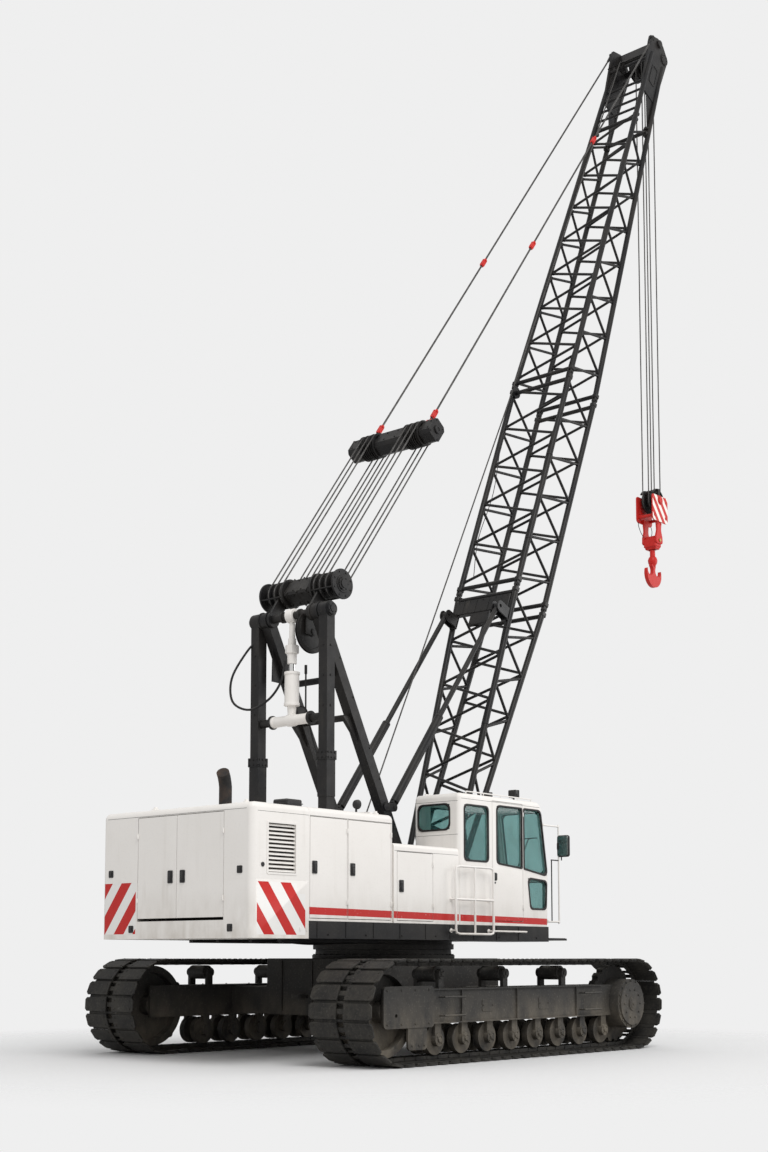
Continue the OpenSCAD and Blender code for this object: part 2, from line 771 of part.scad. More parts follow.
// The same on the rear face, for a door that hangs from the opening's left edge
module rear_knuckles(edge, heights, on_frame) {
  translate([rear_x, 0, 0]) rotate([0, 0, 90])
    for (z = heights) knuckle(edge, 0, z, on_frame);
}

// Door in a side wall, drawn for the left side, with its handle at the rear
module side_door(edges, top) {
  color(cab_colour) placed() {
    span(edges[0] + door_gap, edges[1] - door_gap, body_half_w - wall_t, body_half_w,
      door_low + door_gap, top - door_gap);
    span(edges[0] + 60, edges[0] + 110, body_half_w - 1, body_half_w + 18,
      (door_low + top) / 2 - 60, (door_low + top) / 2 + 60);
    knuckles(edges[1], body_half_w, door_low, top, false);
  }
}

module side_door_left_rear() { side_door(high_doors[0], high_door_top); }
module side_door_left_front() { side_door(high_doors[1], high_door_top); }
module low_door_left() { side_door(low_door, low_door_top); }
module side_door_right_rear() { mirror([0, 1, 0]) side_door_left_rear(); }
module side_door_right_front() { mirror([0, 1, 0]) side_door_left_front(); }
module low_door_right() { mirror([0, 1, 0]) low_door_left(); }

module rear_door(y0, y1, handle_y) {
  top = house_top - 90;
  color(cab_colour) placed() {
    span(rear_x, rear_x + wall_t, y0 + door_gap, y1 - door_gap, door_low + door_gap,
      top - door_gap);
    span(rear_x - 18, rear_x + 1, handle_y - 25, handle_y + 25, 2200, 2320);
  }
}

module rear_door_left() {
  rear_door(rear_door_split_y - door_gap / 2, rear_door_left_y, rear_door_split_y + 110);
  color(cab_colour) placed()
    rear_knuckles(rear_door_left_y, concat(rear_hinge_low, rear_hinge_high), false);
}

module rear_door_right() {
  rear_door(rear_door_right_y, rear_door_split_y + door_gap / 2, rear_door_split_y - 110);
  color(cab_colour) placed() mirror([0, 1, 0])
    rear_knuckles(-rear_door_right_y, concat(rear_hinge_low, rear_hinge_high), false);
}

// Winch drums

module drum(x, r_core, r_flange, half_w) {
  color(frame_colour) placed() {
    across(x, drum_z, r_core, -half_w, half_w);
    both_sides() across(x, drum_z, r_flange, half_w - 1, half_w + 24);
    across(x, drum_z, 45, -half_w - 70, half_w + 70);
  }
}

module hoist_drum() { drum(hoist_drum_x, hoist_rope_r - rope_r - seat, 240, 560); }
module boom_hoist_drum() { drum(boom_drum_x, 160, 240, 560); }

module drum_stands() {
  color(dark) placed() both_sides()
    for (x = [hoist_drum_x, boom_drum_x])
      difference() {
        span(x - 150, x + 150, 600, 640, deck_top + seat, drum_z + 110);
        across(x, drum_z, 45 + seat, 590, 650);
      }
}

// Cab

waist_z = 2440;
brow_z = cab_top - 60;
front_strip = 60;
seat_half_w = 240;
front_low_z = 2500;
front_high_z = 3380;

module cab_profile(inset, y0, y1) {
  translate([0, y1, 0]) rotate([90, 0, 0]) linear_extrude(y1 - y0)
    polygon([
      [inset, deck_top + seat + inset], [cab_front_x - 20 - inset, deck_top + seat + inset],
      [cab_front_x - inset, waist_z], [cab_roof_front_x - inset, brow_z - inset / 2],
      [cab_roof_front_x - 90 - inset / 2, cab_top - inset], [inset, cab_top - inset]
    ]);
}

// Windows of the right side wall: outline points in x and z
rear_side_window = [[120, 2600], [660, 2600], [660, 3360], [120, 3360]];
front_side_window = [[1505, 2540], [2075, 2460], [1915, 3395], [1505, 3395]];
low_front_window = [[1660, 1975], [2040, 1975], [2060, 2380], [1600, 2410]];
left_window = [[300, 2450], [1980, 2450], [1880, 3380], [300, 3380]];

module side_pane(points, y0, y1, shrink = 0) {
  middle = [for (axis = [0, 1]) (min([for (p = points) p[axis]]) + max([for (p = points) p[axis]])) / 2];
  translate([0, y1, 0]) rotate([90, 0, 0]) linear_extrude(y1 - y0)
    polygon([
      for (p = points)
        [p[0] + (p[0] > middle[0] ? -shrink : shrink), p[1] + (p[1] > middle[1] ? -shrink : shrink)]
    ]);
}

// Front face of the cab at a height
function cab_front_at(z) =
  z < waist_z ? lookup(z, [[deck_top, cab_front_x - 20], [waist_z, cab_front_x]])
  : cab_front_x - (z - waist_z) * (cab_front_x - cab_roof_front_x) / (brow_z - waist_z);

// Slab along the front face, between two depths behind it and two heights
module front_slab(y0, y1, z0, z1, near, far) {
  translate([0, y1, 0]) rotate([90, 0, 0]) linear_extrude(y1 - y0)
    polygon([
      [cab_front_at(z0) - far, z0], [cab_front_at(z0) - near, z0],
      [cab_front_at(z1) - near, z1], [cab_front_at(z1) - far, z1]
    ]);
}

cab_door_top = 3460;
cab_door_low = deck_top + 60;

module cab_shell() {
  y0 = -body_half_w;
  y1 = cab_inner_y;
  color(cab_colour) placed() mirror([0, 1, 0])
    knuckles(cab_door_front_x, body_half_w, cab_door_low, cab_door_top, true);
  color(cab_colour) placed() difference() {
    cab_profile(0, y0, y1);
    cab_profile(cab_wall, y0 + cab_wall, y1 - cab_wall);
    side_pane(rear_side_window, y0 - 1, y0 + cab_wall + 1);
    side_pane(front_side_window, y0 - 1, y0 + cab_wall + 1);
    side_pane(low_front_window, y0 - 1, y0 + cab_wall + 1);
    side_pane(left_window, y1 - cab_wall - 1, y1 + 1);
    span(cab_door_rear_x, cab_door_front_x, y0 - 1, y0 + cab_wall + 1, cab_door_low, cab_door_top);
    front_slab(y0 + front_strip, y1 - front_strip, front_low_z, front_high_z,
      -10, cab_wall + 12);
    span(cab_front_x - 120, cab_front_x + 20, y0 + 80, y1 - 80, 1960, 2380);
    span(-1, cab_wall + 1, -1190, -640, 3020, 3370);
  }
}

module cab_glass() {
  y0 = -body_half_w + cab_wall / 2;
  y1 = cab_inner_y - cab_wall / 2;
  color("darkcyan") placed() {
    for (w = [rear_side_window, front_side_window, low_front_window])
      side_pane(w, y0 - glass_t / 2, y0 + glass_t / 2, seat);
    side_pane(left_window, y1 - glass_t / 2, y1 + glass_t / 2, seat);
    front_slab(-body_half_w + front_strip + seat, cab_inner_y - front_strip - seat,
      front_low_z + seat, front_high_z - seat, cab_wall / 2, cab_wall / 2 + glass_t);
    span(cab_front_x - 40, cab_front_x - 40 + glass_t, -body_half_w + 80 + seat, cab_inner_y - 80 - seat,
      1960 + seat, 2380 - seat);
    span(22, 22 + glass_t, -1190 + seat, -640 - seat, 3020 + seat, 3370 - seat);
  }
}

module cab_interior() {
  floor_z = deck_top + seat + cab_wall + seat;
  color("black") placed() translate([0, (cab_inner_y - body_half_w) / 2, 0]) {
    span(420, 900, -seat_half_w + 20, seat_half_w - 20, floor_z, 2080);
    span(400, 940, -seat_half_w, seat_half_w, 2079, 2200);
    span(360, 480, -seat_half_w, seat_half_w, 2190, 2860);
    span(1400, 1560, -160, 160, floor_z, 2330);
    translate([1440, 0, 2329]) rotate([0, -25, 0]) cylinder(r = 25, h = 120, $fn = 24);
    translate([1395, 0, 2440]) rotate([0, -25, 0])
      rotate_extrude($fn = 48) translate([160, 0]) circle(r = 14, $fn = 16);
    translate([1395, 0, 2440]) rotate([0, -25, 0]) for (a = [0, 90])
      rotate([0, 0, a]) translate([-155, -12, -8]) cube([310, 24, 16]);
  }
}

cab_door_window = [[860, 2590], [1455, 2545], [1455, 3395], [860, 3395]];

module cab_door() {
  y0 = -body_half_w;
  color(cab_colour) placed() {
    difference() {
      span(cab_door_rear_x + door_gap, cab_door_front_x - door_gap, y0, y0 + cab_wall,
        cab_door_low + door_gap, cab_door_top - door_gap);
      side_pane(cab_door_window, y0 - 1, y0 + cab_wall + 1);
    }
    span(cab_door_rear_x + 30, cab_door_rear_x + 90, y0 - 20, y0 + 1, 2360, 2440);
    mirror([0, 1, 0])
      knuckles(cab_door_front_x, body_half_w, cab_door_low, cab_door_top, false);
  }
}

module cab_door_glass() {
  y0 = -body_half_w + cab_wall / 2;
  color("darkcyan") placed() side_pane(cab_door_window, y0 - glass_t / 2, y0 + glass_t / 2, seat);
}

// Gantry

module gantry_posts() {
  color(frame_colour) placed() {
    both_sides() {
      difference() {
        union() {
          span(shaft_x - post_w / 2, shaft_x + post_w / 2, post_y - post_w / 2,
            post_y + post_w / 2, deck_top + seat, shaft_z);
          across(shaft_x, shaft_z, 110, post_y - post_w / 2, post_y + post_w / 2);
        }
        across(shaft_x, shaft_z, shaft_r + seat, 400, 900);
      }
    }
    across(shaft_x, tie_z, 55, -post_y, post_y);
    both_sides() {
      translate([shaft_x, post_y, 0])
        span(-post_w / 2 - 20, post_w / 2 + 20, -post_w / 2 - 20, post_w / 2 + 20,
          collar_z - 60, collar_z + 60);
      translate([shaft_x, post_y, 0])
        span(-post_w / 2 - 8, post_w / 2 + 8, -post_w / 2 - 8, post_w / 2 + 8,
          house_top + 250, collar_z - 59);
    }
  }
}

module gantry_legs() {
  pin_x = backstop_foot[0];
  pin_z = backstop_foot[1];
  color(frame_colour) placed() {
    both_sides() difference() {
      union() {
        square_bar(shaft_x, shaft_z, leg_foot_x, leg_foot_z, leg_y, post_w, post_w);
        across(shaft_x, shaft_z, leg_eye_r, leg_y - leg_eye_w / 2, leg_y + leg_eye_w / 2);
        across(leg_foot_x, leg_foot_z, 90, leg_y - leg_eye_w / 2, leg_y + leg_eye_w / 2);
      }
      across(shaft_x, shaft_z, shaft_r + seat, 380, 560);
    }
    both_sides() for (g = leg_gussets)
      translate([0, leg_y + g[4] / 2, 0]) rotate([90, 0, 0]) linear_extrude(g[4])
        polygon([[leg_x(g[0]), g[0]], [leg_x(g[1]), g[1]], [leg_x(g[2]) - g[3], g[2]]]);
    for (z = leg_tie_zs) across(leg_x(z), z, 45, -leg_y, leg_y);
    both_sides() {
      across(leg_foot_x, leg_foot_z, leg_pin_r, leg_bracket_y - 10, leg_y);
      across(leg_x(pin_z), pin_z, backstop_eye_r, leg_y, fork_outer + 6);
      for (y = [fork_inner, fork_outer - fork_t]) {
        square_bar(leg_x(pin_z), pin_z, pin_x, pin_z, y + fork_t / 2, fork_t, fork_d);
        across(pin_x, pin_z, backstop_eye_r, y, y + fork_t);
      }
      across(pin_x, pin_z, backstop_pin_r, fork_inner - 6, fork_outer + 6);
    }
  }
}

module gantry_shaft() {
  color(frame_colour) placed() {
    across(shaft_x, shaft_z, shaft_r, -post_y - 110, post_y + 110);
    both_sides() across(shaft_x, shaft_z, 85, post_y + post_w / 2 + seat, post_y + 110);
    across(shaft_x + deflector_dx, shaft_z - deflector_drop, deflector_r,
      -deflector_y - deflector_w / 2, -deflector_y + deflector_w / 2);
  }
}

module gantry_cylinder() {
  color(cab_colour) placed() {
    difference() {
      union() {
        across(shaft_x, tie_z, 78, -350, 350);
        for (r = cylinder_rings)
          translate([shaft_x, 0, tie_z + r[0]]) cylinder(r = r[2], h = r[1] - r[0], $fn = 40);
        across(shaft_x, shaft_z, 95, -60, 60);
      }
      across(shaft_x, tie_z, 55 + seat, -400, 400);
      across(shaft_x, shaft_z, shaft_r + seat, -70, 70);
    }
  }
}

module gantry_bail() {
  beam_half_w = fall_ys[0] - 48;
  color(frame_colour) placed() {
    on_rigging() span(-150, 150, -beam_half_w, beam_half_w, -135, 135);
    across(bail_x, bail_z, 60, -bail_half_w - 20, bail_half_w + 20);
    both_sides() {
      for (y = fall_ys) across(bail_x, bail_z, fall_r - rope_r - seat, y - 26, y + 26);
      across(bail_x, bail_z, 205, beam_half_w - 14, beam_half_w + 14);
      across(bail_x, bail_z, 205, bail_half_w - 45, bail_half_w - 15);
      across(bail_x, bail_z, 90, bail_half_w - 100, bail_half_w + 8, 32);
      difference() {
        square_bar(shaft_x, shaft_z, bail_x, bail_z, bail_link_y, bail_link_w, 190);
        across(shaft_x, shaft_z, shaft_r + seat, bail_link_y - 40, bail_link_y + 40);
      }
    }
  }
}

// Roof, exhaust, rails and mirror

module roof_fittings() {
  color(dark) placed() {
    span(-2800, -2500, -820, -560, house_top + seat, house_top + 150);
    span(-3450, -3150, -900, -600, house_top + seat, house_top + 60);
  }
}

module exhaust() {
  color("black") placed() {
    translate([-3380, -330, house_top + seat]) cylinder(r = 85, h = 330, $fn = 32);
    translate([-3380, -330, house_top + 300])
      rotate([0, -40, 30]) cylinder(r = 85, h = 200, $fn = 32);
  }
}

module handrails() {
  y = -body_half_w - 85;
  color(cab_colour) placed() {
    for (x = [-180, 240, 660]) rod([x, y, 1590], [x, y, 2510], 17);
    for (z = [1595, 2060, 2505]) rod([-180, y, z], [660, y, z], 17);
    for (x = [-180, 660], z = [1640, 2060])
      rod([x, y, z], [x, -body_half_w - seat, z], 14);
    rod([660, y, 1640], [1440, y, 1640], 14);
    for (x = [1050, 1425]) rod([x, y, 1640], [x, -body_half_w - seat, 1640], 12);
  }
}

// Work lamps: a round one on the house roof, two square ones on the cab roof
module lamps() {
  color(dark) placed() {
    translate([-1970, -1240, house_top + seat]) cylinder(r = 16, h = 60, $fn = 24);
    translate([-2000, -1240, house_top + 105]) rotate([0, 90, 0]) cylinder(r = 62, h = 62, $fn = 40);
    for (y = [-1180, -700]) {
      translate([1500, y, cab_top + seat]) cylinder(r = 16, h = 50, $fn = 24);
      span(1450, 1550, y - 70, y + 70, cab_top + 45, cab_top + 160);
    }
  }
}

module mirror_unit() {
  y = -body_half_w + 30;
  rail_x = 2420;
  rail_r = 14;
  color(dark) placed() {
    for (z = [1800, 3200])
      rod([max(cab_front_at(z - rail_r), cab_front_at(z + rail_r)) + seat, y, z], [rail_x, y, z],
        rail_r);
    rod([rail_x, y, 1800 - rail_r], [rail_x, y, 3200 + rail_r], rail_r);
    span(rail_x - 25, rail_x + 25, y - 190, y + 20, 2750, 3070);
  }
}

// Boom

function half_w(s) = lookup(s, boom_half_w);
function half_d(s) = lookup(s, boom_half_d);
function chord_at(s, side, face) = [s, side * half_w(s), face * half_d(s)];

// One lattice section: chords from s0 to s1, lacing in bays, and square frames at its ends
module lattice(s0, s1, lace0, lace1, bays) {
  step = (lace1 - lace0) / bays;
  for (side = [-1, 1], face = [-1, 1])
    rod(chord_at(s0, side, face), chord_at(s1, side, face), chord_r, 12);
  for (side = [-1, 1], i = [0 : bays - 1]) {
    from = i % 2 == 0 ? 1 : -1;
    rod(chord_at(lace0 + i * step, side, from), chord_at(lace0 + (i + 1) * step, side, -from),
      lace_r, 8);
  }
  for (face = [-1, 1], i = [0 : bays - 1]) {
    from = i % 2 == 0 ? 1 : -1;
    rod(chord_at(lace0 + 90 + i * step, from, face),
      chord_at(lace0 + 90 + (i + 1) * step, -from, face), lace_r, 8);
  }
}

// Tube across the boom between its two chords of one face
module cross_tube(at_s, face) {
  rod(chord_at(at_s, -1, face), chord_at(at_s, 1, face), cross_r, 12);
}

// Pin joint of two boom sections at one chord: a tongue on the lower section, a fork on the upper
module joint_tongue(at_s, side, face) {
  y = side * half_w(at_s);
  t = face * half_d(at_s);
  difference() {
    union() {
      span(at_s - joint_block_far, at_s - joint_reach, y - joint_block, y + joint_block,
        t - joint_block, t + joint_block);
      span(at_s - joint_reach - 2, at_s, y - 12, y + 12, t - joint_lug_r + 1, t + joint_lug_r - 1);
      across(at_s, t, joint_lug_r, y - 14, y + 14, 32);
    }
    across(at_s, t, joint_pin_r + seat, y - 20, y + 20, 24);
  }
}

module joint_fork(at_s, side, face) {
  y = side * half_w(at_s);
  t = face * half_d(at_s);
  span(at_s + joint_reach, at_s + joint_block_far, y - joint_block, y + joint_block,
    t - joint_block, t + joint_block);
  for (k = [-1, 1]) {
    translate([0, y + k * 24, 0])
      span(at_s, at_s + joint_reach + 2, -7, 7, t - joint_lug_r + 1, t + joint_lug_r - 1);
    across(at_s, t, joint_lug_r, y + k * 24 - 9, y + k * 24 + 9, 32);
  }
  across(at_s, t, joint_pin_r, y - 46, y + 46, 24);
}

module joint_ends(at_s, forked) {
  for (side = [-1, 1], face = [-1, 1])
    if (forked) joint_fork(at_s, side, face); else joint_tongue(at_s, side, face);
}

module boom_base() {
  tray_s = joint1_s - 425;
  color(frame_colour) placed() on_boom() {
    lattice(chord_start, joint1_s - joint_reach - 20, 500, joint1_s - 160, 12);
    joint_ends(joint1_s, false);
    both_sides() difference() {
      union() {
        across(0, 0, foot_eye_r, foot_y - foot_eye_w / 2 - 2, foot_y + foot_eye_w / 2 + 2);
        span(0, chord_start + 60, foot_y - foot_eye_w / 2, foot_y + foot_eye_w / 2,
          -foot_eye_r + 8, foot_eye_r - 8);
      }
      across(0, 0, foot_pin_r + seat, 300, 560);
    }
    across(chord_start, 0, chord_r, -foot_y, foot_y, 12);
    for (face = [-1, 1]) cross_tube(joint1_s - 120, face);
    span(tray_s, tray_s + 250, -520, 520, 335, 425);
    span(tray_s - 215, tray_s + 1, -190, 190, 345, 415);
    both_sides() {
      span(backstop_top_s - 110, backstop_top_s + 110, fork_inner, fork_outer,
        half_d(backstop_top_s) + 20, half_d(backstop_top_s) + 60);
      for (y = [fork_inner, fork_outer - fork_t])
        span(backstop_top_s - 90, backstop_top_s + 90, y, y + fork_t,
          half_d(backstop_top_s) + 30, backstop_top_t + 70);
    }
  }
}

module boom_foot_pins() {
  color("silver") placed() on_boom() both_sides()
    across(0, 0, foot_pin_r, foot_y - foot_eye_w / 2 - 10, cab_clear_y);
}

module boom_middle() {
  color(frame_colour) placed() on_boom() {
    lattice(joint1_s + joint_reach + 20, joint2_s - joint_reach - 20, joint1_s + 120,
      joint2_s - 160, 10);
    joint_ends(joint1_s, true);
    joint_ends(joint2_s, false);
    for (s = [joint1_s + 100, joint2_s - 120], face = [-1, 1]) cross_tube(s, face);
    across(pulley_s, pulley_t, 20, pulley_y - 12, half_w(pulley_s) - 20);
    across(pulley_s, pulley_t, pulley_r - rope_r - seat, pulley_y - 12, pulley_y + 12);
  }
}

// Side plate of the boom head, drawn in length and depth
head_plate = [
  [joint3_s + 700, -235], [hook_pin_s - 60, hook_pin_t - 110], [hook_pin_s + 90, hook_pin_t - 110],
  [head_s + 130, -60], [head_s + 130, 120], [pendant_s + 50, pendant_t + 50],
  [pendant_s - 60, pendant_t + 50], [joint3_s + 700, 235]
];

// Small sheave for a second line, in a bracket on the right head plate
module aux_bracket() {
  y = half_w(head_s);
  span(aux_s - 60, aux_s + 60, -y, -aux_y + 40, -200, -185);
  for (k = [-1, 1]) {
    translate([0, -aux_y + k * 34, 0]) span(aux_s - 60, aux_s + 60, -6, 6, -300, -186);
    across(aux_s, -300, 60, -aux_y + k * 34 - 8, -aux_y + k * 34 + 8, 32);
  }
  across(aux_s, -300, 75, -aux_y - 16, -aux_y + 16, 40);
  across(aux_s, -300, 20, -aux_y - 60, -aux_y + 60, 24);
}

module boom_tip() {
  plate_y = half_w(head_s);
  color(frame_colour) placed() on_boom() {
    lattice(joint2_s + joint_reach + 20, head_s - 300, joint2_s + 120, joint3_s, 15);
    joint_ends(joint2_s, true);
    for (side = [-1, 1], face = [-1, 1], k = [-1, 1])
      translate([joint3_s + k * 65, side * half_w(joint3_s), face * half_d(joint3_s)])
        span(-28, 28, -joint_block, joint_block, -joint_block, joint_block);
    for (s = [joint2_s + 100, joint3_s], face = [-1, 1]) cross_tube(s, face);
    for (ds = ladder_steps)
      rod(chord_at(joint3_s + ds, -1, 1), chord_at(joint3_s + ds, 1, 1), lace_r, 8);
    both_sides() difference() {
      union() {
        translate([0, plate_y + head_plate_t, 0]) rotate([90, 0, 0])
          linear_extrude(2 * head_plate_t) polygon(head_plate);
        translate([0, plate_y + 8, 0]) rotate([90, 0, 0]) linear_extrude(16)
          polygon([[joint3_s + 60, -215], [joint3_s + 720, -232], [joint3_s + 720, 60]]);
      }
      across(hook_pin_s, hook_pin_t, hook_pin_r + seat, plate_y - 50, plate_y + 50);
    }
    span(hook_pin_s - 40, head_s + 110, -plate_y, plate_y, 30, 118);
    both_sides() across(head_s + 40, 60, 70, plate_y, plate_y + 58, 32);
    aux_bracket();
  }
}

module boom_head_sheaves() {
  color(frame_colour) placed() on_boom() {
    across(hook_pin_s, hook_pin_t, hook_pin_r, -half_w(head_s) - 30, half_w(head_s) + 30);
    for (y = concat(hook_sheave_ys, spare_sheave_ys))
      across(hook_pin_s, hook_pin_t, hook_fall_r - rope_r - seat, y - 30, y + 30);
    across(guide_s, guide_t, guide_shaft_r, -half_w(head_s) + head_plate_t + seat,
      half_w(head_s) - head_plate_t - seat);
    across(guide_s, guide_t, guide_r, guide_y - 20, guide_y + 20);
  }
}

// Hoist rope along the rear of the boom, from the guide pulley to the guide sheave at the head
module boom_rope() {
  color(dark) placed() on_boom()
    rod([pulley_s + 40, pulley_y, pulley_t + pulley_r],
      [guide_s, guide_y, guide_t + guide_r + rope_r + seat], rope_r, 16);
}

// Backstops

module backstop_tubes() {
  neck = 95;
  color(frame_colour) placed() on_backstop() both_sides() difference() {
    union() {
      translate([neck, backstop_y, 0]) rotate([0, 90, 0])
        cylinder(r = backstop_tube_r, h = backstop_tube_len - neck, $fn = 48);
      across(0, 0, backstop_eye_r, backstop_y - backstop_eye_w / 2,
        backstop_y + backstop_eye_w / 2);
      span(0, neck + 10, backstop_y - backstop_eye_w / 2, backstop_y + backstop_eye_w / 2, -50, 50);
    }
    across(0, 0, backstop_pin_r + seat, backstop_y - 50, backstop_y + 50);
    translate([130, backstop_y, 0]) rotate([0, 90, 0])
      cylinder(r = backstop_rod_r + seat, h = backstop_tube_len, $fn = 48);
  }
}

module backstop_rods() {
  start = backstop_tube_len - 1150;
  color(dark) placed() on_backstop() both_sides() {
    translate([start, backstop_y, 0]) rotate([0, 90, 0])
      cylinder(r = backstop_rod_r, h = backstop_len - start - 40, $fn = 48);
    across(backstop_len, 0, 50, backstop_y - backstop_eye_w / 2, backstop_y + backstop_eye_w / 2);
    across(backstop_len, 0, backstop_pin_r, backstop_y - backstop_eye_w / 2 - fork_gap + seat,
      backstop_y + backstop_eye_w / 2 + fork_gap - seat);
  }
}

// Rigging

module gantry_falls() {
  color("gray") placed() on_rigging() both_sides() for (y = fall_ys)
    rod([0, y, -fall_r], [spreader_dist, y, -fall_r], rope_r, 16);
}

module spreader() {
  color(frame_colour) placed() on_rigging() {
    span(spreader_dist - 150, spreader_dist + 150, -spreader_half_w, spreader_half_w,
      -spreader_half_d, spreader_half_d);
    both_sides() {
      for (y = fall_ys) across(spreader_dist, 0, fall_r - rope_r - seat, y - 26, y + 26);
      across(spreader_dist, 0, 60, spreader_half_w - 1, spreader_half_w + 24, 32);
      for (k = [-1, 1]) {
        translate([0, pendant_low_y + k * 31, 0])
          span(spreader_dist + 140, pendant_low_s, -8, 8, -pendant_eye_r + 1, pendant_eye_r - 1);
        across(pendant_low_s, 0, pendant_eye_r, pendant_low_y + k * 31 - 10, pendant_low_y + k * 31 + 10, 32);
      }
      across(pendant_low_s, 0, 18, pendant_low_y - 50, pendant_low_y + 50, 24);
    }
  }
}

module spreader_falls() {
  color("gray") placed() on_rigging() both_sides() for (y = fall_ys)
    rod([0, y, fall_r], [spreader_dist, y, fall_r], rope_r, 16);
}

// Local x runs along a pendant from its lower eye to its upper eye
module on_pendant(side) {
  on_rigging() translate([pendant_low_s, side * pendant_low_y, 0]) rotate([0, 0, side * pendant_turn])
    children();
}

module pendants() {
  color("gray") placed() {
    for (side = [-1, 1]) on_pendant(side) rod([30, 0, 0], [pendant_len, 0, 0], pendant_r, 16);
    on_rigging() both_sides() {
      difference() {
        across(pendant_low_s, 0, pendant_eye_r - 2, pendant_low_y - 18, pendant_low_y + 18, 32);
        across(pendant_low_s, 0, 18 + seat, pendant_low_y - 30, pendant_low_y + 30, 24);
      }
      across(rig_len, 0, 45, pendant_y - 22, pendant_y + 22, 32);
    }
  }
}

// Red links that join two lengths of a pendant
module pendant_link_set() {
  color(red) placed() for (link = pendant_links) on_pendant(link[1]) difference() {
    union() {
      span(link[0], link[0] + link_len, -22, 22, -34, 34);
      for (x = [link[0] + 35, link[0] + link_len - 35]) across(x, 0, 16, -34, 34, 16);
    }
    rod([link[0] - 5, 0, 0], [link[0] + link_len + 5, 0, 0], pendant_r + seat, 16);
  }
}

// Straight rope that touches the rear of the hoist drum and of the guide pulley
module hoist_line() {
  dx = pulley_x - hoist_drum_x;
  dz = pulley_z - drum_z;
  angle = atan2(dz, dx) - asin((hoist_rope_r - pulley_r) / norm([dx, dz]));
  color("gray") placed()
    rod([hoist_drum_x - hoist_rope_r * sin(angle), hoist_rope_y, drum_z + hoist_rope_r * cos(angle)],
      [pulley_x - pulley_r * sin(angle), pulley_y, pulley_z + pulley_r * cos(angle)], rope_r, 16);
}

// Falls of the hook: offset from the middle in x and y
upper_falls = [[-hook_fall_r, -60], [hook_fall_r, 60]];
lower_falls = [[-hook_fall_r, 60], [hook_fall_r, -60], [0, 0]];

module hook_falls_upper() {
  color("gray") placed() for (f = upper_falls)
    rod([hook_x + f[0], f[1], block_z], [hook_x + f[0], f[1], hook_top_z], rope_r, 16);
}

module hook_falls_lower() {
  color("gray") placed() for (f = lower_falls)
    rod([hook_x + f[0], f[1], block_z + (f[0] == 0 ? becket_top + 40 + seat : 0)],
      [hook_x + f[0], f[1], hook_top_z - (f[0] == 0 ? hook_pin_r + seat : 0)], rope_r, 16);
}

module hook_block() {
  color(red) placed() translate([hook_x, 0, block_z]) {
    both_sides() {
      span(block_plate[0], block_plate[1], block_plate_y[0], block_plate_y[1],
        block_plate[2], block_plate[3]);
      translate([0, block_plate_y[0] + 2, 0]) rotate([90, 0, 0]) linear_extrude(40) polygon(link_shape);
      across(0, 0, 60, block_plate_y[0] - 12, block_plate_y[1] + 22, 32);
      across(0, crosshead_z, 30, block_plate_y[0] - 12, block_plate_y[0] + 22, 24);
      difference() {
        across(0, 0, guard_outer_r, 100, 128);
        across(0, 0, guard_inner_r, 90, 140);
        span(-300, 300, 80, 150, -300, 110);
      }
      span(-36, 36, 96, block_plate_y[0] + 2, guard_inner_r + 6, guard_outer_r - 12);
      span(-30, 30, block_plate_y[0] - 16, block_plate_y[0] + 9, block_plate[3] - 8, guard_outer_r - 7);
    }
    across(0, 0, 45, -160, 160);
    for (y = hook_sheave_ys)
      across(0, 0, hook_fall_r - rope_r - seat, y - 30, y + 30);
    for (x = [-190, 190]) across(x, -300, 30, -block_plate_y[0] - 2, block_plate_y[0] + 2);
    span(-50, 50, -25, 25, 0, becket_top + 40);
    span(-75, 75, -block_plate_y[0] + 36, block_plate_y[0] - 36, crosshead_bottom, crosshead_z + 85);
    span(-100, 100, -block_plate_y[0] + 20, block_plate_y[0] - 20, crosshead_bottom + 30, crosshead_z + 50);
  }
}

// Double hook: a collar and a shank turned about the hook's axis, and two prongs cut from a disc
module hook() {
  color(red) placed() translate([hook_x, 0, block_z]) {
    translate([0, 0, crosshead_bottom - 129]) cylinder(r = shank_r, h = 129 - seat, $fn = 40);
    translate([0, 0, hook_c + 145]) rotate_extrude($fn = 40)
      polygon([[0, 0], [46, 0], [80, 60], [86, 110], [70, 160], [50, 178], [0, 178]]);
    difference() {
      translate([0, 34, hook_c]) rotate([90, 0, 0]) linear_extrude(68)
        difference() {
          union() {
            circle(r = hook_r, $fn = 64);
            translate([-shank_half_w, 0]) square([2 * shank_half_w, 200]);
          }
          for (k = [-1, 1]) translate([k * throat_x, throat_z]) circle(r = throat_r, $fn = 48);
          for (k = [-1, 1]) translate([k * (throat_x + 21) - 76, throat_z]) square([152, 300]);
          translate([shank_half_w + 3, throat_z + 20]) square([300, 300]);
          translate([-shank_half_w - 303, throat_z + 110]) square([300, 300]);
        }
    }
  }
}

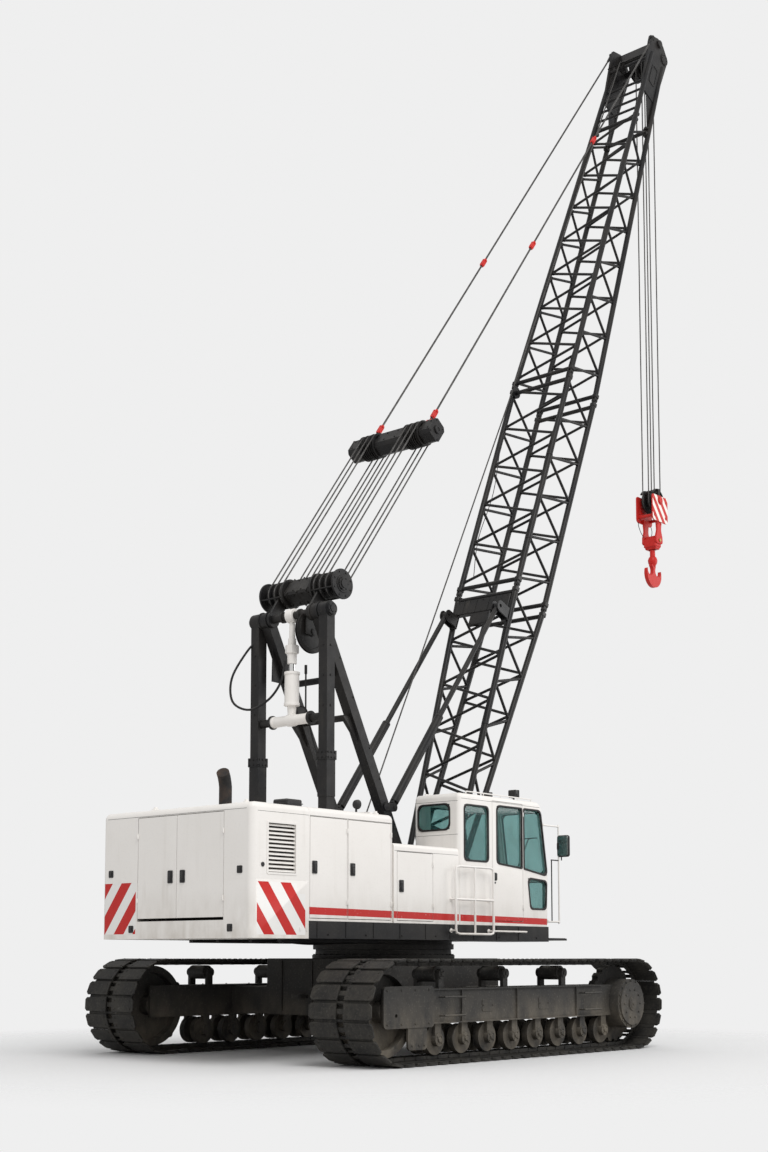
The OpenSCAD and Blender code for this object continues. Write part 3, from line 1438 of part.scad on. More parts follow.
track_left();
track_right();
track_frame_left();
track_frame_right();
track_wheels_left();
track_wheels_right();
carbody();
tow_lugs();
slew_ring();
deck();
counterweight();
rear_house();
high_house();
low_house_right();
low_house_left();
engine();
rear_door_left();
rear_door_right();
side_door_right_rear();
side_door_right_front();
low_door_right();
side_door_left_rear();
side_door_left_front();
low_door_left();
hoist_drum();
boom_hoist_drum();
drum_stands();
cab_shell();
cab_glass();
cab_interior();
cab_door();
cab_door_glass();
gantry_posts();
gantry_legs();
gantry_shaft();
gantry_cylinder();
gantry_bail();
roof_fittings();
lamps();
exhaust();
handrails();
mirror_unit();  // mirror
boom_base();
boom_foot_pins();
boom_middle();
boom_tip();
boom_head_sheaves();
boom_rope();
backstop_tubes();
backstop_rods();
gantry_falls();
spreader();
spreader_falls();
pendants();
pendant_link_set();  // pendant_links
hoist_line();
hook_falls_upper();
hook_falls_lower();
hook_block();
hook();
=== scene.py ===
"""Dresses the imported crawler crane: finishes, trim, rigging and the stage.

Every piece is drawn in metres about the slew axis and then moved to the part's own frame.
"""

import math

import bmesh
import bpy
from mathutils import Matrix, Vector


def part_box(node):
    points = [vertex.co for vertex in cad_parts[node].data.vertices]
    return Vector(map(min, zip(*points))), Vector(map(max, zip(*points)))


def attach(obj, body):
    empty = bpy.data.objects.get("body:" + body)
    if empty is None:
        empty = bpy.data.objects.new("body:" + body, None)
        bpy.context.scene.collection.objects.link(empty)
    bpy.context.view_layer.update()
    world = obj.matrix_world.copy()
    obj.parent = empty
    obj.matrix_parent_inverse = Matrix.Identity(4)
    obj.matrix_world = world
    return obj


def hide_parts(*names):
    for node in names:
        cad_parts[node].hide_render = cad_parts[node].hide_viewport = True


bl_info = {
    "name": "Crawler crane dressing",
    "version": (1, 0, 0),
    "blender": (4, 5, 0),
    "location": "View3D > Sidebar > Crane",
    "description": "Builds the finished pieces of a crawler crane round its packed solids",
    "category": "Object",
}

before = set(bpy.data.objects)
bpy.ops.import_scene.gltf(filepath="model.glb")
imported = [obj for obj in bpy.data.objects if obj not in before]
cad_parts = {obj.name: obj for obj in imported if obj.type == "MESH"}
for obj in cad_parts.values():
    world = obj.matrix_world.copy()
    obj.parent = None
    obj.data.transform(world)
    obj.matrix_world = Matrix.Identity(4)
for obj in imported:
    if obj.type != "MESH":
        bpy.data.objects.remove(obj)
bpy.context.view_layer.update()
TRACK_LOW, TRACK_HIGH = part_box("track_left")
SLEW_X = (TRACK_LOW[0] + TRACK_HIGH[0]) / 2
HOUSE_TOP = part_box("high_house")[1][2]
TO_FRAME = Matrix.Translation((SLEW_X, 0, 0))
X, Y, Z = Vector((1, 0, 0)), Vector((0, 1, 0)), Vector((0, 0, 1))


# Sizes shared by several pieces, in metres from the slew axis

REAR_X, SEAM_X, HIGH_X = -3.918, -2.95, -1.361
DECK_TOP, LOW_TOP, DOOR_SILL = 1.723, 2.752, 0.028
BODY_Y, CAB_INNER_Y = 1.35, -0.565
SHAFT = Vector((-1.87, 0, 5.83))
BAIL = Vector((-1.62, 0, 6.21))
FOOT = Vector((0.91, 0, 2.05))
BOOM_TILT = math.radians(68)
JOINTS = (5.16, 9.25, 15.21)
HEAD_S = 17.1
PIN_S, PIN_T = 17.0, -0.18
GUIDE_S, GUIDE_T = 16.6, 0.27
POST_Y = 0.63
FALL_YS = (0.31, 0.42, 0.53)
DECK_EYE_Z = 1.828


def on_boom(s, y, t):
    """Point at s along the boom from its foot pin, y to the left and t behind its middle plane."""
    c, n = math.cos(BOOM_TILT), math.sin(BOOM_TILT)
    return Vector((FOOT.x + s * c - t * n, y, FOOT.z + s * n + t * c))


def boom_half(s, table):
    """Half width or depth of the boom at s, from a table of places and values."""
    for (s0, v0), (s1, v1) in zip(table, table[1:]):
        if s <= s1:
            return v0 + (v1 - v0) * (s - s0) / (s1 - s0)
    return table[-1][1]


HALF_W = ((0, 0.43), (JOINTS[0], 0.56), (JOINTS[1], 0.56), (JOINTS[2], 0.41), (HEAD_S, 0.4))
HALF_D = ((0, 0.062), (JOINTS[0], 0.38), (JOINTS[1], 0.38), (JOINTS[2], 0.19), (HEAD_S, 0.19))


def chord(s, side, face):
    """Point on one of the four chords."""
    return on_boom(s, side * boom_half(s, HALF_W), face * boom_half(s, HALF_D))


PENDANT_PIN = on_boom(HEAD_S - 0.06, 0, 0.3)
RIG = (PENDANT_PIN - BAIL).normalized()
RIG_UP = Vector((-RIG.z, 0, RIG.x))
RIG_LEN = (PENDANT_PIN - BAIL).length
SPREADER_S = 3.19
EYE_S, EYE_Y, HEAD_EYE_Y = 3.45, 0.52, 0.4423
HOOK_PIN = on_boom(PIN_S, 0, PIN_T)
BLOCK_Z = 9.48


def on_rig(s, y, t):
    """Point at s from the gantry head towards the boom head, t above that line."""
    p = BAIL + RIG * s + RIG_UP * t
    return Vector((p.x, y, p.z))


def tilted(at, way):
    """Axes at a point, the first of them along a direction in the xz plane."""
    return Matrix.Translation(at) @ Matrix.Rotation(-math.atan2(way.z, way.x), 4, "Y")


BOOM_TURN = Matrix.Translation(FOOT) @ Matrix.Rotation(-BOOM_TILT, 4, "Y")
RIG_TURN = tilted(BAIL, RIG)


def leg_x(z):
    """Front leg's middle line at a height."""
    return SHAFT.x + (SHAFT.z - z) * (0.2 - SHAFT.x) / (SHAFT.z - DECK_EYE_Z)


def cab_front(z):
    """Front face of the cab at a height."""
    if z < 2.44:
        return 2.1 + 0.02 * (z - DECK_TOP) / (2.44 - DECK_TOP)
    return 2.12 - (z - 2.44) * (2.12 - 1.955) / (3.46 - 2.44)


# Mesh making


def in_plane(plane, u, v, h):
    """Point of the plane xz, yz or xy at h along the third axis."""
    return {"xz": (u, h, v), "yz": (h, u, v), "xy": (u, v, h)}[plane]


def round_points(centre, u, v, r, sides):
    """Points on a circle spanned by two directions."""
    turns = (2 * math.pi * k / sides for k in range(sides))
    return [centre + (u * math.cos(a) + v * math.sin(a)) * r for a in turns]


def path_frames(points, closed=False):
    """Each point of a path with two directions square to it, twisted as little as can be."""
    pts = [Vector(p) for p in points]
    n, across = len(pts), None
    for i, p in enumerate(pts):
        before = pts[(i - 1) % n] if closed or i else p
        after = pts[(i + 1) % n] if closed or i < n - 1 else p
        ahead = (after - before).normalized()
        if across is None:
            across = ahead.orthogonal().normalized()
        across = (across - ahead * across.dot(ahead)).normalized()
        yield p, across, ahead.cross(across)


def span(side, a, b):
    """Two distances from the middle plane on one side, the lower value first."""
    return sorted((side * a, side * b))


class Shape:
    """Mesh parts collected for one piece, in metres about the slew axis."""

    def __init__(self, material=0):
        self.verts, self.faces, self.mats = [], [], []
        self.material = material

    def add(self, verts, faces, turn=None):
        base = len(self.verts)
        self.verts += [(turn @ Vector(v))[:] if turn else tuple(v) for v in verts]
        self.faces += [tuple(base + i for i in f) for f in faces]
        self.mats += [self.material] * len(faces)
        return self

    def box(self, x, y, z, soft=0.006, turn=None):
        """Box with chamfered edges between two x, two y and two z."""
        mid = [(v[0] + v[1]) / 2 for v in (x, y, z)]
        half = [abs(v[1] - v[0]) / 2 for v in (x, y, z)]
        cut = min(soft, min(half) * 0.45)
        verts = []
        for k in range(8):
            sign = [1 if k >> a & 1 else -1 for a in range(3)]
            for a in range(3):
                verts.append(
                    [mid[b] + sign[b] * (half[b] - (0 if a == b else cut)) for b in range(3)]
                )
        faces = [(3 * k, 3 * k + 1, 3 * k + 2) for k in range(8)]
        for a in range(3):
            b, c = (a + 1) % 3, (a + 2) % 3
            ring = [(0, 0), (1, 0), (1, 1), (0, 1)]
            for s in (0, 1):
                faces.append([3 * (s << a | p << b | q << c) + a for p, q in ring])
            for p, q in ring:
                low, high = p << b | q << c, 1 << a | p << b | q << c
                faces.append([3 * low + b, 3 * low + c, 3 * high + c, 3 * high + b])
        return self.add(verts, faces, turn)

    def rings(self, rings, closed=False, caps=True, turn=None):
        """Skin over rings of points that all have the same number of points."""
        n = len(rings[0])
        verts = [p for ring in rings for p in ring]
        faces = []
        count = len(rings)
        for i in range(count if closed else count - 1):
            a, b = i * n, (i + 1) % count * n
            for j in range(n):
                k = (j + 1) % n
                faces.append((a + j, a + k, b + k, b + j))
        if caps and not closed:
            faces += [tuple(range(n)), tuple(range((count - 1) * n, count * n))]
        return self.add(verts, faces, turn)

    def turned(self, at, axis, profile, sides=32):
        """Turned part: profile holds (distance along the axis, radius) pairs."""
        axis = Vector(axis).normalized()
        side = axis.orthogonal().normalized()
        other = axis.cross(side)
        return self.rings([
            round_points(Vector(at) + axis * along, side, other, r, sides) for along, r in profile
        ])

    def bar(self, a, b, r, sides=16, soft=0.0):
        """Round bar between two points, its ends chamfered by soft."""
        a, b = Vector(a), Vector(b)
        long = (b - a).length
        profile = [(0, r), (long, r)]
        if soft:
            profile = [(0, r - soft), (soft, r), (long - soft, r), (long, r - soft)]
        return self.turned(a, b - a, profile, sides)

    def ring(self, at, axis, outer, inner, width, sides=40, soft=0.003):
        """Flat ring, centred at a point."""
        axis = Vector(axis).normalized()
        h = width / 2
        profile = [
            (-h, inner), (-h, outer - soft), (-h + soft, outer),
            (h - soft, outer), (h, outer - soft), (h, inner),
        ]
        side = axis.orthogonal().normalized()
        other = axis.cross(side)
        rings = []
        for i in range(sides):
            a = 2 * math.pi * i / sides
            out = side * math.cos(a) + other * math.sin(a)
            rings.append([Vector(at) + axis * d + out * r for d, r in profile])
        return self.rings(rings, closed=True)

    def tube(self, points, r, sides=10, closed=False):
        """Round tube along a path."""
        rings = [round_points(p, u, v, r, sides) for p, u, v in path_frames(points, closed)]
        return self.rings(rings, closed=closed)

    def prism(self, outline, plane, low, high, soft=0.0):
        """Outline in plane xz, yz or xy, pushed from low to high along the third axis."""
        levels = [(low, 0), (high, 0)]
        if soft:
            levels = [(low, soft), (low + soft, 0), (high - soft, 0), (high, soft)]
        return self.rings([[in_plane(plane, *p, h) for p in inset(outline, d)] for h, d in levels])

    def plate(self, outline, holes, plane, low, high, soft=0.002):
        """Flat plate with holes, made from a filled curve."""
        curve = bpy.data.curves.new("plate", "CURVE")
        curve.dimensions = "2D"
        curve.fill_mode = "BOTH"
        half = abs(high - low) / 2
        soft = min(soft, half * 0.4)
        curve.extrude = half - soft
        curve.bevel_depth = soft
        curve.bevel_resolution = 0
        curve.offset = -soft
        for line in (outline, *holes):
            spline = curve.splines.new("POLY")
            spline.points.add(len(line) - 1)
            for point, p in zip(spline.points, line):
                point.co = (p[0], p[1], 0, 1)
            spline.use_cyclic_u = True
        holder = bpy.data.objects.new("plate", curve)
        mesh = bpy.data.meshes.new_from_object(holder)
        mid = (low + high) / 2
        points = [in_plane(plane, v.co.x, v.co.y, mid + v.co.z) for v in mesh.vertices]
        self.add(points, [tuple(p.vertices) for p in mesh.polygons])
        bpy.data.objects.remove(holder)
        bpy.data.curves.remove(curve)
        bpy.data.meshes.remove(mesh)
        return self

    def hull(self, outline, corners, r, y0, y1, steps=6):
        """Solid of an xz outline between two y, its corners rounded by corners and its rims by r."""
        outline = rounded(outline, corners, 6)
        rings = []
        for end, way in ((y0, 1), (y1, -1)):
            for k in range(steps + 1)[::way]:
                a = math.pi / 2 * (1 - k / steps)
                deep = r * (1 - math.cos(math.pi / 2 - a))
                side = r * (1 - math.sin(math.pi / 2 - a))
                rings.append([(x, end + way * deep, z) for x, z in inset(outline, side)])
        return self.rings(rings)

    def join(self, other, turn=None):
        """Takes in the parts of another shape with their materials."""
        count = len(self.mats)
        self.add(other.verts, other.faces, turn)
        self.mats[count:] = other.mats
        return self

    def mirrored(self):
        """The same parts and their mirror image across the middle plane."""
        return Shape().join(self).join(self.flipped())

    def flipped(self):
        """Only the mirror image across the middle plane."""
        copy = Shape()
        copy.verts = [(x, -y, z) for x, y, z in self.verts]
        copy.faces = [tuple(reversed(f)) for f in self.faces]
        copy.mats = list(self.mats)
        return copy


def area_of(outline):
    """Area inside an outline, negative where it runs clockwise."""
    return sum(
        a[0] * b[1] - b[0] * a[1] for a, b in zip(outline, outline[1:] + outline[:1])
    ) / 2


def inset(outline, by):
    """Outline moved inwards by a distance, outwards where it is negative."""
    outline = [tuple(p) for p in outline]
    if not by:
        return outline
    turn = 1 if area_of(outline) > 0 else -1
    result = []
    n = len(outline)
    for i in range(n):
        a, b, c = (Vector(outline[j % n]) for j in (i - 1, i, i + 1))
        d0, d1 = (b - a).normalized(), (c - b).normalized()
        n0, n1 = Vector((-d0.y, d0.x)) * turn, Vector((-d1.y, d1.x)) * turn
        mean = n0 + n1
        if mean.length < 1e-6:
            mean = n0
        mean.normalize()
        p = b + mean * (by / max(0.3, mean.dot(n0)))
        result.append((p.x, p.y))
    return result


def rounded(outline, r, steps=5):
    """Outline with its corners rounded. r is one radius or one for each corner."""
    n = len(outline)
    radii = r if isinstance(r, (list, tuple)) else [r] * n
    result = []
    for i in range(n):
        a, b, c = (Vector(outline[j % n]) for j in (i - 1, i, i + 1))
        to_a, to_c = (a - b), (c - b)
        if radii[i] <= 0:
            result.append((b.x, b.y))
            continue
        half = to_a.angle(to_c) / 2
        reach = min(radii[i] / math.tan(half), to_a.length * 0.49, to_c.length * 0.49)
        radius = reach * math.tan(half)
        u, w = to_a.normalized(), to_c.normalized()
        centre = b + (u + w).normalized() * (radius / math.sin(half))
        start, end = b + u * reach - centre, b + w * reach - centre
        a0 = math.atan2(start.y, start.x)
        swing = (math.atan2(end.y, end.x) - a0 + math.pi) % (2 * math.pi) - math.pi
        for k in range(steps + 1):
            angle = a0 + swing * k / steps
            result.append((centre.x + radius * math.cos(angle), centre.y + radius * math.sin(angle)))
    return result


def rect(x0, x1, z0, z1):
    return [(x0, z0), (x1, z0), (x1, z1), (x0, z1)]


def circle(x, z, r, sides=20):
    return [
        (x + r * math.cos(2 * math.pi * i / sides), z + r * math.sin(2 * math.pi * i / sides))
        for i in range(sides)
    ]


def arc(centre, r, start, end, steps=8):
    """Points on an arc in the plane of two axes, as (u, v) pairs; angles in degrees."""
    return [
        (centre[0] + r * math.cos(math.radians(start + (end - start) * k / steps)),
         centre[1] + r * math.sin(math.radians(start + (end - start) * k / steps)))
        for k in range(steps + 1)
    ]


def smooth_path(points, steps=6):
    """Catmull-Rom curve through the points."""
    pts = [Vector(p) for p in points]
    result = []
    for i in range(len(pts) - 1):
        a, b, c, d = (pts[max(0, min(len(pts) - 1, i + k))] for k in (-1, 0, 1, 2))
        for k in range(steps):
            t = k / steps
            result.append(0.5 * (
                2 * b + (c - a) * t + (2 * a - 5 * b + 4 * c - d) * t * t
                + (3 * b - a - 3 * c + d) * t ** 3
            ))
    return result + [pts[-1]]


def around(u, v, r, count, first=0):
    """Points on a circle, evenly spaced, the first at an angle in degrees."""
    turns = (math.radians(first + 360 / count * i) for i in range(count))
    return [(u + r * math.cos(a), v + r * math.sin(a)) for a in turns]


def take(obj):
    """Applies every modifier of an object by reading the evaluated mesh."""
    bpy.context.view_layer.update()
    graph = bpy.context.evaluated_depsgraph_get()
    mesh = bpy.data.meshes.new_from_object(
        obj.evaluated_get(graph), preserve_all_data_layers=True, depsgraph=graph
    )
    obj.modifiers.clear()
    old = obj.data
    obj.data = mesh
    mesh.name = obj.name
    if old.users == 0:
        bpy.data.meshes.remove(old)
    return obj


def settle(obj):
    """Smooth shading with sharp edges, led by the large faces."""
    for polygon in obj.data.polygons:
        polygon.use_smooth = True
    obj.data.set_sharp_from_angle(angle=math.radians(32))
    mod = obj.modifiers.new("normals", "WEIGHTED_NORMAL")
    mod.keep_sharp = True
    take(obj)


def outward(mesh, *more):
    """Takes further meshes into a mesh and turns all its faces outward."""
    bm = bmesh.new()
    for source in (mesh, *more):
        bm.from_mesh(source)
    bmesh.ops.recalc_face_normals(bm, faces=bm.faces)
    bm.to_mesh(mesh)
    bm.free()


def linked(name, mesh):
    obj = bpy.data.objects.new(name, mesh)
    bpy.context.scene.collection.objects.link(obj)
    return obj


def as_object(name, shape, materials=()):
    mesh = bpy.data.meshes.new(name)
    mesh.from_pydata(shape.verts, [], shape.faces)
    for m in materials:
        mesh.materials.append(m)
    mesh.polygons.foreach_set("material_index", shape.mats)
    outward(mesh)
    return linked(name, mesh)


def soften(obj, width, segments=2):
    """Rounds the sharp edges."""
    mod = obj.modifiers.new("edges", "BEVEL")
    mod.width = width
    mod.segments = segments
    mod.limit_method = "ANGLE"
    mod.angle_limit = math.radians(30)
    mod.use_clamp_overlap = True
    mod.miter_outer = "MITER_ARC"
    return take(obj)


def trim(obj, keep):
    """Keeps what lies inside a closed shape."""
    cutter = as_object("cutter", keep)
    mod = obj.modifiers.new("trim", "BOOLEAN")
    mod.operation = "INTERSECT"
    mod.solver = "EXACT"
    mod.object = cutter
    take(obj)
    bpy.data.objects.remove(cutter)
    return obj


def place(obj, body, slot, replaced=()):
    """Moves a finished piece to the frame and hands it to its body."""
    obj.data.transform(TO_FRAME)
    settle(obj)
    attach(obj, body)
    if replaced:
        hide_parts(*replaced)
    return obj


def piece(name, shape, body, paints, replaced=(), soft=0.0, slot=None):
    """Finished piece of a shape. paints names its materials."""
    paints = paints.split()
    obj = as_object(name, shape, [PAINTS[p] for p in paints])
    if soft:
        soften(obj, soft)
    return place(obj, body, slot or SLOTS[paints[0]], replaced)


def node_copy(name, node, paint, flatten=False):
    """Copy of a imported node, its corners welded and, where asked, its flat faces merged."""
    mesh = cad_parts[node].data.copy()
    mesh.name = name
    bm = bmesh.new()
    bm.from_mesh(mesh)
    bmesh.ops.remove_doubles(bm, verts=bm.verts, dist=2e-5)
    if flatten:
        bmesh.ops.dissolve_limit(bm, angle_limit=math.radians(1.5), verts=bm.verts, edges=bm.edges)
    bm.to_mesh(mesh)
    bm.free()
    mesh.transform(TO_FRAME.inverted())
    mesh.materials.clear()
    mesh.materials.append(PAINTS[paint])
    return linked(name, mesh)


def dressed(name, node, body, paint, soft=0.008, segments=2, slot=None):
    """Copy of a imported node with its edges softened, which stands for that node."""
    obj = soften(node_copy(name, node, paint, flatten=True), soft, segments)
    return place(obj, body, slot or SLOTS[paint], (node,))


# Shaders


class Maths:
    """A shader value that takes ordinary arithmetic."""

    def __init__(self, tree, socket):
        self.tree, self.socket = tree, socket

    def node(self, operation, *values, clamp=False):
        node = self.tree.nodes.new("ShaderNodeMath")
        node.operation = operation
        node.use_clamp = clamp
        for slot, value in zip(node.inputs, values):
            if isinstance(value, Maths):
                self.tree.links.new(value.socket, slot)
            else:
                slot.default_value = value
        return Maths(self.tree, node.outputs[0])

    def __add__(self, other): return self.node("ADD", self, other)
    def __radd__(self, other): return self.node("ADD", other, self)
    def __sub__(self, other): return self.node("SUBTRACT", self, other)
    def __rsub__(self, other): return self.node("SUBTRACT", other, self)
    def __mul__(self, other): return self.node("MULTIPLY", self, other)
    def __rmul__(self, other): return self.node("MULTIPLY", other, self)
    def __truediv__(self, other): return self.node("DIVIDE", self, other)
    def __abs__(self): return self.node("ABSOLUTE", self)
    def above(self, other): return self.node("GREATER_THAN", self, other)
    def below(self, other): return self.node("LESS_THAN", self, other)
    def between(self, low, high): return self.above(low) * self.below(high)
    def wrap(self, size): return self.node("FLOORED_MODULO", self, size)
    def most(self, other): return self.node("MAXIMUM", self, other)

    def ramp(self, low, high):
        """0 below low and 1 above high; the other way round where low is above high."""
        return self.node("MULTIPLY", self - low, 1 / (high - low), clamp=True)


class Finish:
    """One procedural material under construction."""

    def __init__(self, name):
        self.material = bpy.data.materials.new(name)
        self.material.use_nodes = True
        self.tree = self.material.node_tree
        self.tree.nodes.clear()
        self.out = self.tree.nodes.new("ShaderNodeOutputMaterial")
        self.body = self.tree.nodes.new("ShaderNodeBsdfPrincipled")
        self.tree.links.new(self.body.outputs[0], self.out.inputs["Surface"])
        coords = self.tree.nodes.new("ShaderNodeTexCoord")
        self.at = coords.outputs["Object"]
        self.uv = coords.outputs["UV"]
        split = self.make("ShaderNodeSeparateXYZ", {}, Vector=self.at)
        self.x = Maths(self.tree, split.outputs[0]) - SLEW_X
        self.y = Maths(self.tree, split.outputs[1])
        self.z = Maths(self.tree, split.outputs[2])
        facing = self.make("ShaderNodeSeparateXYZ", {},
                           Vector=self.make("ShaderNodeNewGeometry", {}).outputs["Normal"])
        self.up = Maths(self.tree, facing.outputs[2])

    def make(self, kind, settings, **values):
        node = self.tree.nodes.new(kind)
        for key, value in settings.items():
            setattr(node, key, value)
        for key, value in values.items():
            self.set(node.inputs[key], value)
        return node

    def set(self, slot, value):
        if isinstance(value, Maths):
            self.tree.links.new(value.socket, slot)
        elif isinstance(value, bpy.types.NodeSocket):
            self.tree.links.new(value, slot)
        elif isinstance(value, (tuple, list)) and len(value) == 3 and slot.type == "RGBA":
            slot.default_value = (*value, 1)
        else:
            slot.default_value = value

    def noise(self, scale, detail=3, stretch=(1, 1, 1), rough=0.55):
        place = self.make("ShaderNodeMapping", {}, Vector=self.at, Scale=stretch).outputs[0]
        node = self.make("ShaderNodeTexNoise", {}, Vector=place, Scale=scale, Detail=detail,
                         Roughness=rough)
        return Maths(self.tree, node.outputs[0])

    def mix(self, amount, a, b):
        node = self.make("ShaderNodeMix", {"data_type": "RGBA"})
        self.set(node.inputs[0], amount)
        self.set(node.inputs[6], a)
        self.set(node.inputs[7], b)
        return node.outputs[2]

    def node_length(self):
        """Level distance from the slew axis."""
        return self.x.node("SQRT", self.x * self.x + self.y * self.y)

    def bump(self, height, depth, strength=1.0):
        node = self.make("ShaderNodeBump", {}, Height=height, Distance=depth, Strength=strength)
        self.set(self.body.inputs["Normal"], node.outputs[0])

    def blend(self, amount, first, second):
        """Makes the surface a mix of two shaders."""
        node = self.make("ShaderNodeMixShader", {})
        for slot, value in zip(node.inputs, (amount, first, second)):
            self.set(slot, value)
        self.set(self.out.inputs["Surface"], node.outputs[0])

    def apply(self, **values):
        """Sets the shader's own sockets; a name's blanks are written as underscores."""
        for key, value in values.items():
            self.set(self.body.inputs[key.replace("_", " ")], value)
        return self.material


GRIME = (0.33, 0.28, 0.21)
DUST = (0.3, 0.28, 0.24)
WHITE = (0.83, 0.8, 0.765)
RED = (0.5, 0.012, 0.009)


def weathered(f, colour, low=0.0, dust=0.25, streaks=0.12, tint=0.05):
    """Colour with cloudy tint, dust on upward faces, dirt towards the ground and fine streaks."""
    cloud = f.noise(1.7, 4).ramp(0.35, 0.7)
    speck = f.noise(38, 3).ramp(0.56, 0.72)
    run = f.noise(9, 3, (1, 1, 0.08)).ramp(0.55, 0.75)
    base = f.mix(cloud * tint, colour, GRIME)
    base = f.mix(run * streaks * f.noise(2.2, 2).ramp(0.4, 0.7), base, GRIME)
    base = f.mix(speck * dust * 0.35, base, DUST)
    base = f.mix(f.up.ramp(0.3, 0.9) * dust * f.noise(5, 4).ramp(0.25, 0.75), base, DUST)
    if low:
        rise = f.z.ramp(low + 0.55, low) * f.noise(4.5, 5, (1, 1, 0.5)).ramp(0.32, 0.75)
        base = f.mix(rise * 0.5, base, GRIME)
    return base


def white_paint(name, marks=True):
    f = Finish(name)
    colour = weathered(f, WHITE, low=1.55, dust=0.16, streaks=0.16, tint=0.05)
    if marks:
        side = abs(f.y).above(BODY_Y - 0.004)
        fall = (f.x + 2.94) * 0.0099
        line = (f.z + fall).between(1.8, 1.89) * f.x.between(-2.945, 2.135) * side
        colour = f.mix(line * f.noise(30, 4).ramp(0.2, 0.34), colour, RED)

        slant = (f.x + (f.z - 1.55) / 1.276 + 3.711).wrap(0.378).below(0.175)
        panel = f.x.between(-3.83, -3.01) * f.z.between(1.55, 2.17) * side
        notch = 1 - f.x.above(-3.16) * f.z.above(2.04)
        colour = f.mix(panel * notch, colour, (0.8, 0.785, 0.76))
        colour = f.mix(panel * notch * slant * f.noise(40, 4).ramp(0.18, 0.3), colour, RED)

        slant = (0 - f.y - (f.z - 1.57) / 1.276 + 1.115).wrap(0.36).below(0.19)
        panel = f.y.between(0.7, 1.32) * f.z.between(1.57, 2.21) * f.x.below(REAR_X + 0.004)
        colour = f.mix(panel, colour, (0.8, 0.785, 0.76))
        colour = f.mix(panel * slant * f.noise(40, 4).ramp(0.18, 0.3), colour, RED)
    wave = f.noise(3.0, 2)
    grain = f.noise(160, 2)
    f.bump(wave * 0.7 + grain * 0.12, 0.003, 0.35)
    return f.apply(Base_Color=colour, Roughness=f.noise(7, 4) * 0.22 + 0.32, Specular_IOR_Level=0.3)


def dark_paint(name, colour=(0.007, 0.007, 0.008), dust=0.1, low=0.0, rough=0.42):
    f = Finish(name)
    base = weathered(f, colour, low=low, dust=dust, streaks=0.05, tint=0.04)
    worn = f.noise(14, 6, rough=0.7).ramp(0.64, 0.72)
    base = f.mix(worn * 0.25, base, (0.07, 0.067, 0.063))
    f.bump(f.noise(60, 4) * 0.6 + worn * 0.4, 0.002, 0.4)
    return f.apply(Base_Color=base, Roughness=f.noise(9, 4) * 0.25 + rough - 0.05,
                   Metallic=worn * 0.3, Specular_IOR_Level=0.22)


def track_steel(name):
    f = Finish(name)
    clay = f.noise(3.5, 6, rough=0.65).ramp(0.35, 0.7)
    fine = f.noise(34, 5, rough=0.7)
    base = f.mix(clay * 0.55, (0.012, 0.0115, 0.011), (0.062, 0.056, 0.045))
    base = f.mix(fine.ramp(0.52, 0.7) * 0.35, base, (0.1, 0.092, 0.078))
    bright = f.noise(11, 6, rough=0.75).ramp(0.62, 0.7)
    base = f.mix(bright * 0.5, base, (0.15, 0.145, 0.14))
    f.bump(fine + clay * 0.6, 0.004, 0.6)
    return f.apply(Base_Color=base, Roughness=0.72 - bright * 0.25, Metallic=bright * 0.5,
                   Specular_IOR_Level=0.3)


def bare_metal(name, colour, rough=0.25, wear=0.25):
    f = Finish(name)
    smear = f.noise(6, 5, (1, 1, 0.3))
    base = f.mix(smear.ramp(0.5, 0.75) * wear, colour, (0.06, 0.055, 0.05))
    f.bump(f.noise(90, 3), 0.001, 0.3)
    return f.apply(Base_Color=base, Metallic=1.0, Roughness=smear * 0.25 + rough)


def rope_steel(name):
    """Laid wire: slanting strands drawn along the rope's own unwrapped coordinates, the grooves between
    strands darkened as painted shade.
    """
    f = Finish(name)
    split = f.make("ShaderNodeSeparateXYZ", {}, Vector=f.uv)
    round_it, along = Maths(f.tree, split.outputs[0]), Maths(f.tree, split.outputs[1])
    strand = (along * 14.0 + round_it * 6).wrap(1.0)
    lay = abs(strand - 0.5) * 2
    grease = f.noise(12, 4, (1, 1, 0.4)).ramp(0.4, 0.7)
    # painted shade: the colour darkens towards the grooves between strands, where the strands shade each
    # other; the grease below is a separate stain
    base = f.mix(lay.ramp(0.55, 1.0), (0.115, 0.11, 0.105), (0.02, 0.02, 0.02))
    base = f.mix(grease * 0.55, base, (0.035, 0.033, 0.03))
    f.bump(1 - lay * lay, 0.004, 0.9)
    return f.apply(Base_Color=base, Metallic=0.75, Roughness=grease * 0.2 + 0.42)


def red_paint(name, stripes=False):
    f = Finish(name)
    colour = RED
    if stripes:
        face = abs(f.y).above(0.1745)
        c = (f.x - 7.445 + (f.z - STRIPE_Z) * 0.82 + 0.02).wrap(0.205).below(0.098)
        colour = f.mix(face * c * f.noise(45, 4).ramp(0.2, 0.32), RED, (0.8, 0.77, 0.72))
    colour = weathered(f, colour, dust=0.05, streaks=0.06, tint=0.05)
    chips = f.noise(26, 6, rough=0.7).ramp(0.66, 0.72)
    colour = f.mix(chips * 0.7, colour, (0.05, 0.035, 0.03))
    f.bump(f.noise(70, 3) - chips * 0.6, 0.002, 0.4)
    return f.apply(Base_Color=colour, Roughness=f.noise(12, 4) * 0.2 + 0.3, Specular_IOR_Level=0.25)


def rubber(name, colour=(0.012, 0.012, 0.013), rough=0.6):
    f = Finish(name)
    base = weathered(f, colour, dust=0.2, streaks=0.03, tint=0.02)
    f.bump(f.noise(120, 3), 0.001, 0.5)
    return f.apply(Base_Color=base, Roughness=f.noise(20, 3) * 0.2 + rough - 0.1,
                   Specular_IOR_Level=0.25)


def cloth(name):
    f = Finish(name)
    weave = f.noise(260, 2)
    base = f.mix(weave, (0.012, 0.013, 0.015), (0.05, 0.052, 0.056))
    f.bump(weave, 0.001, 0.7)
    return f.apply(Base_Color=base, Roughness=0.9)


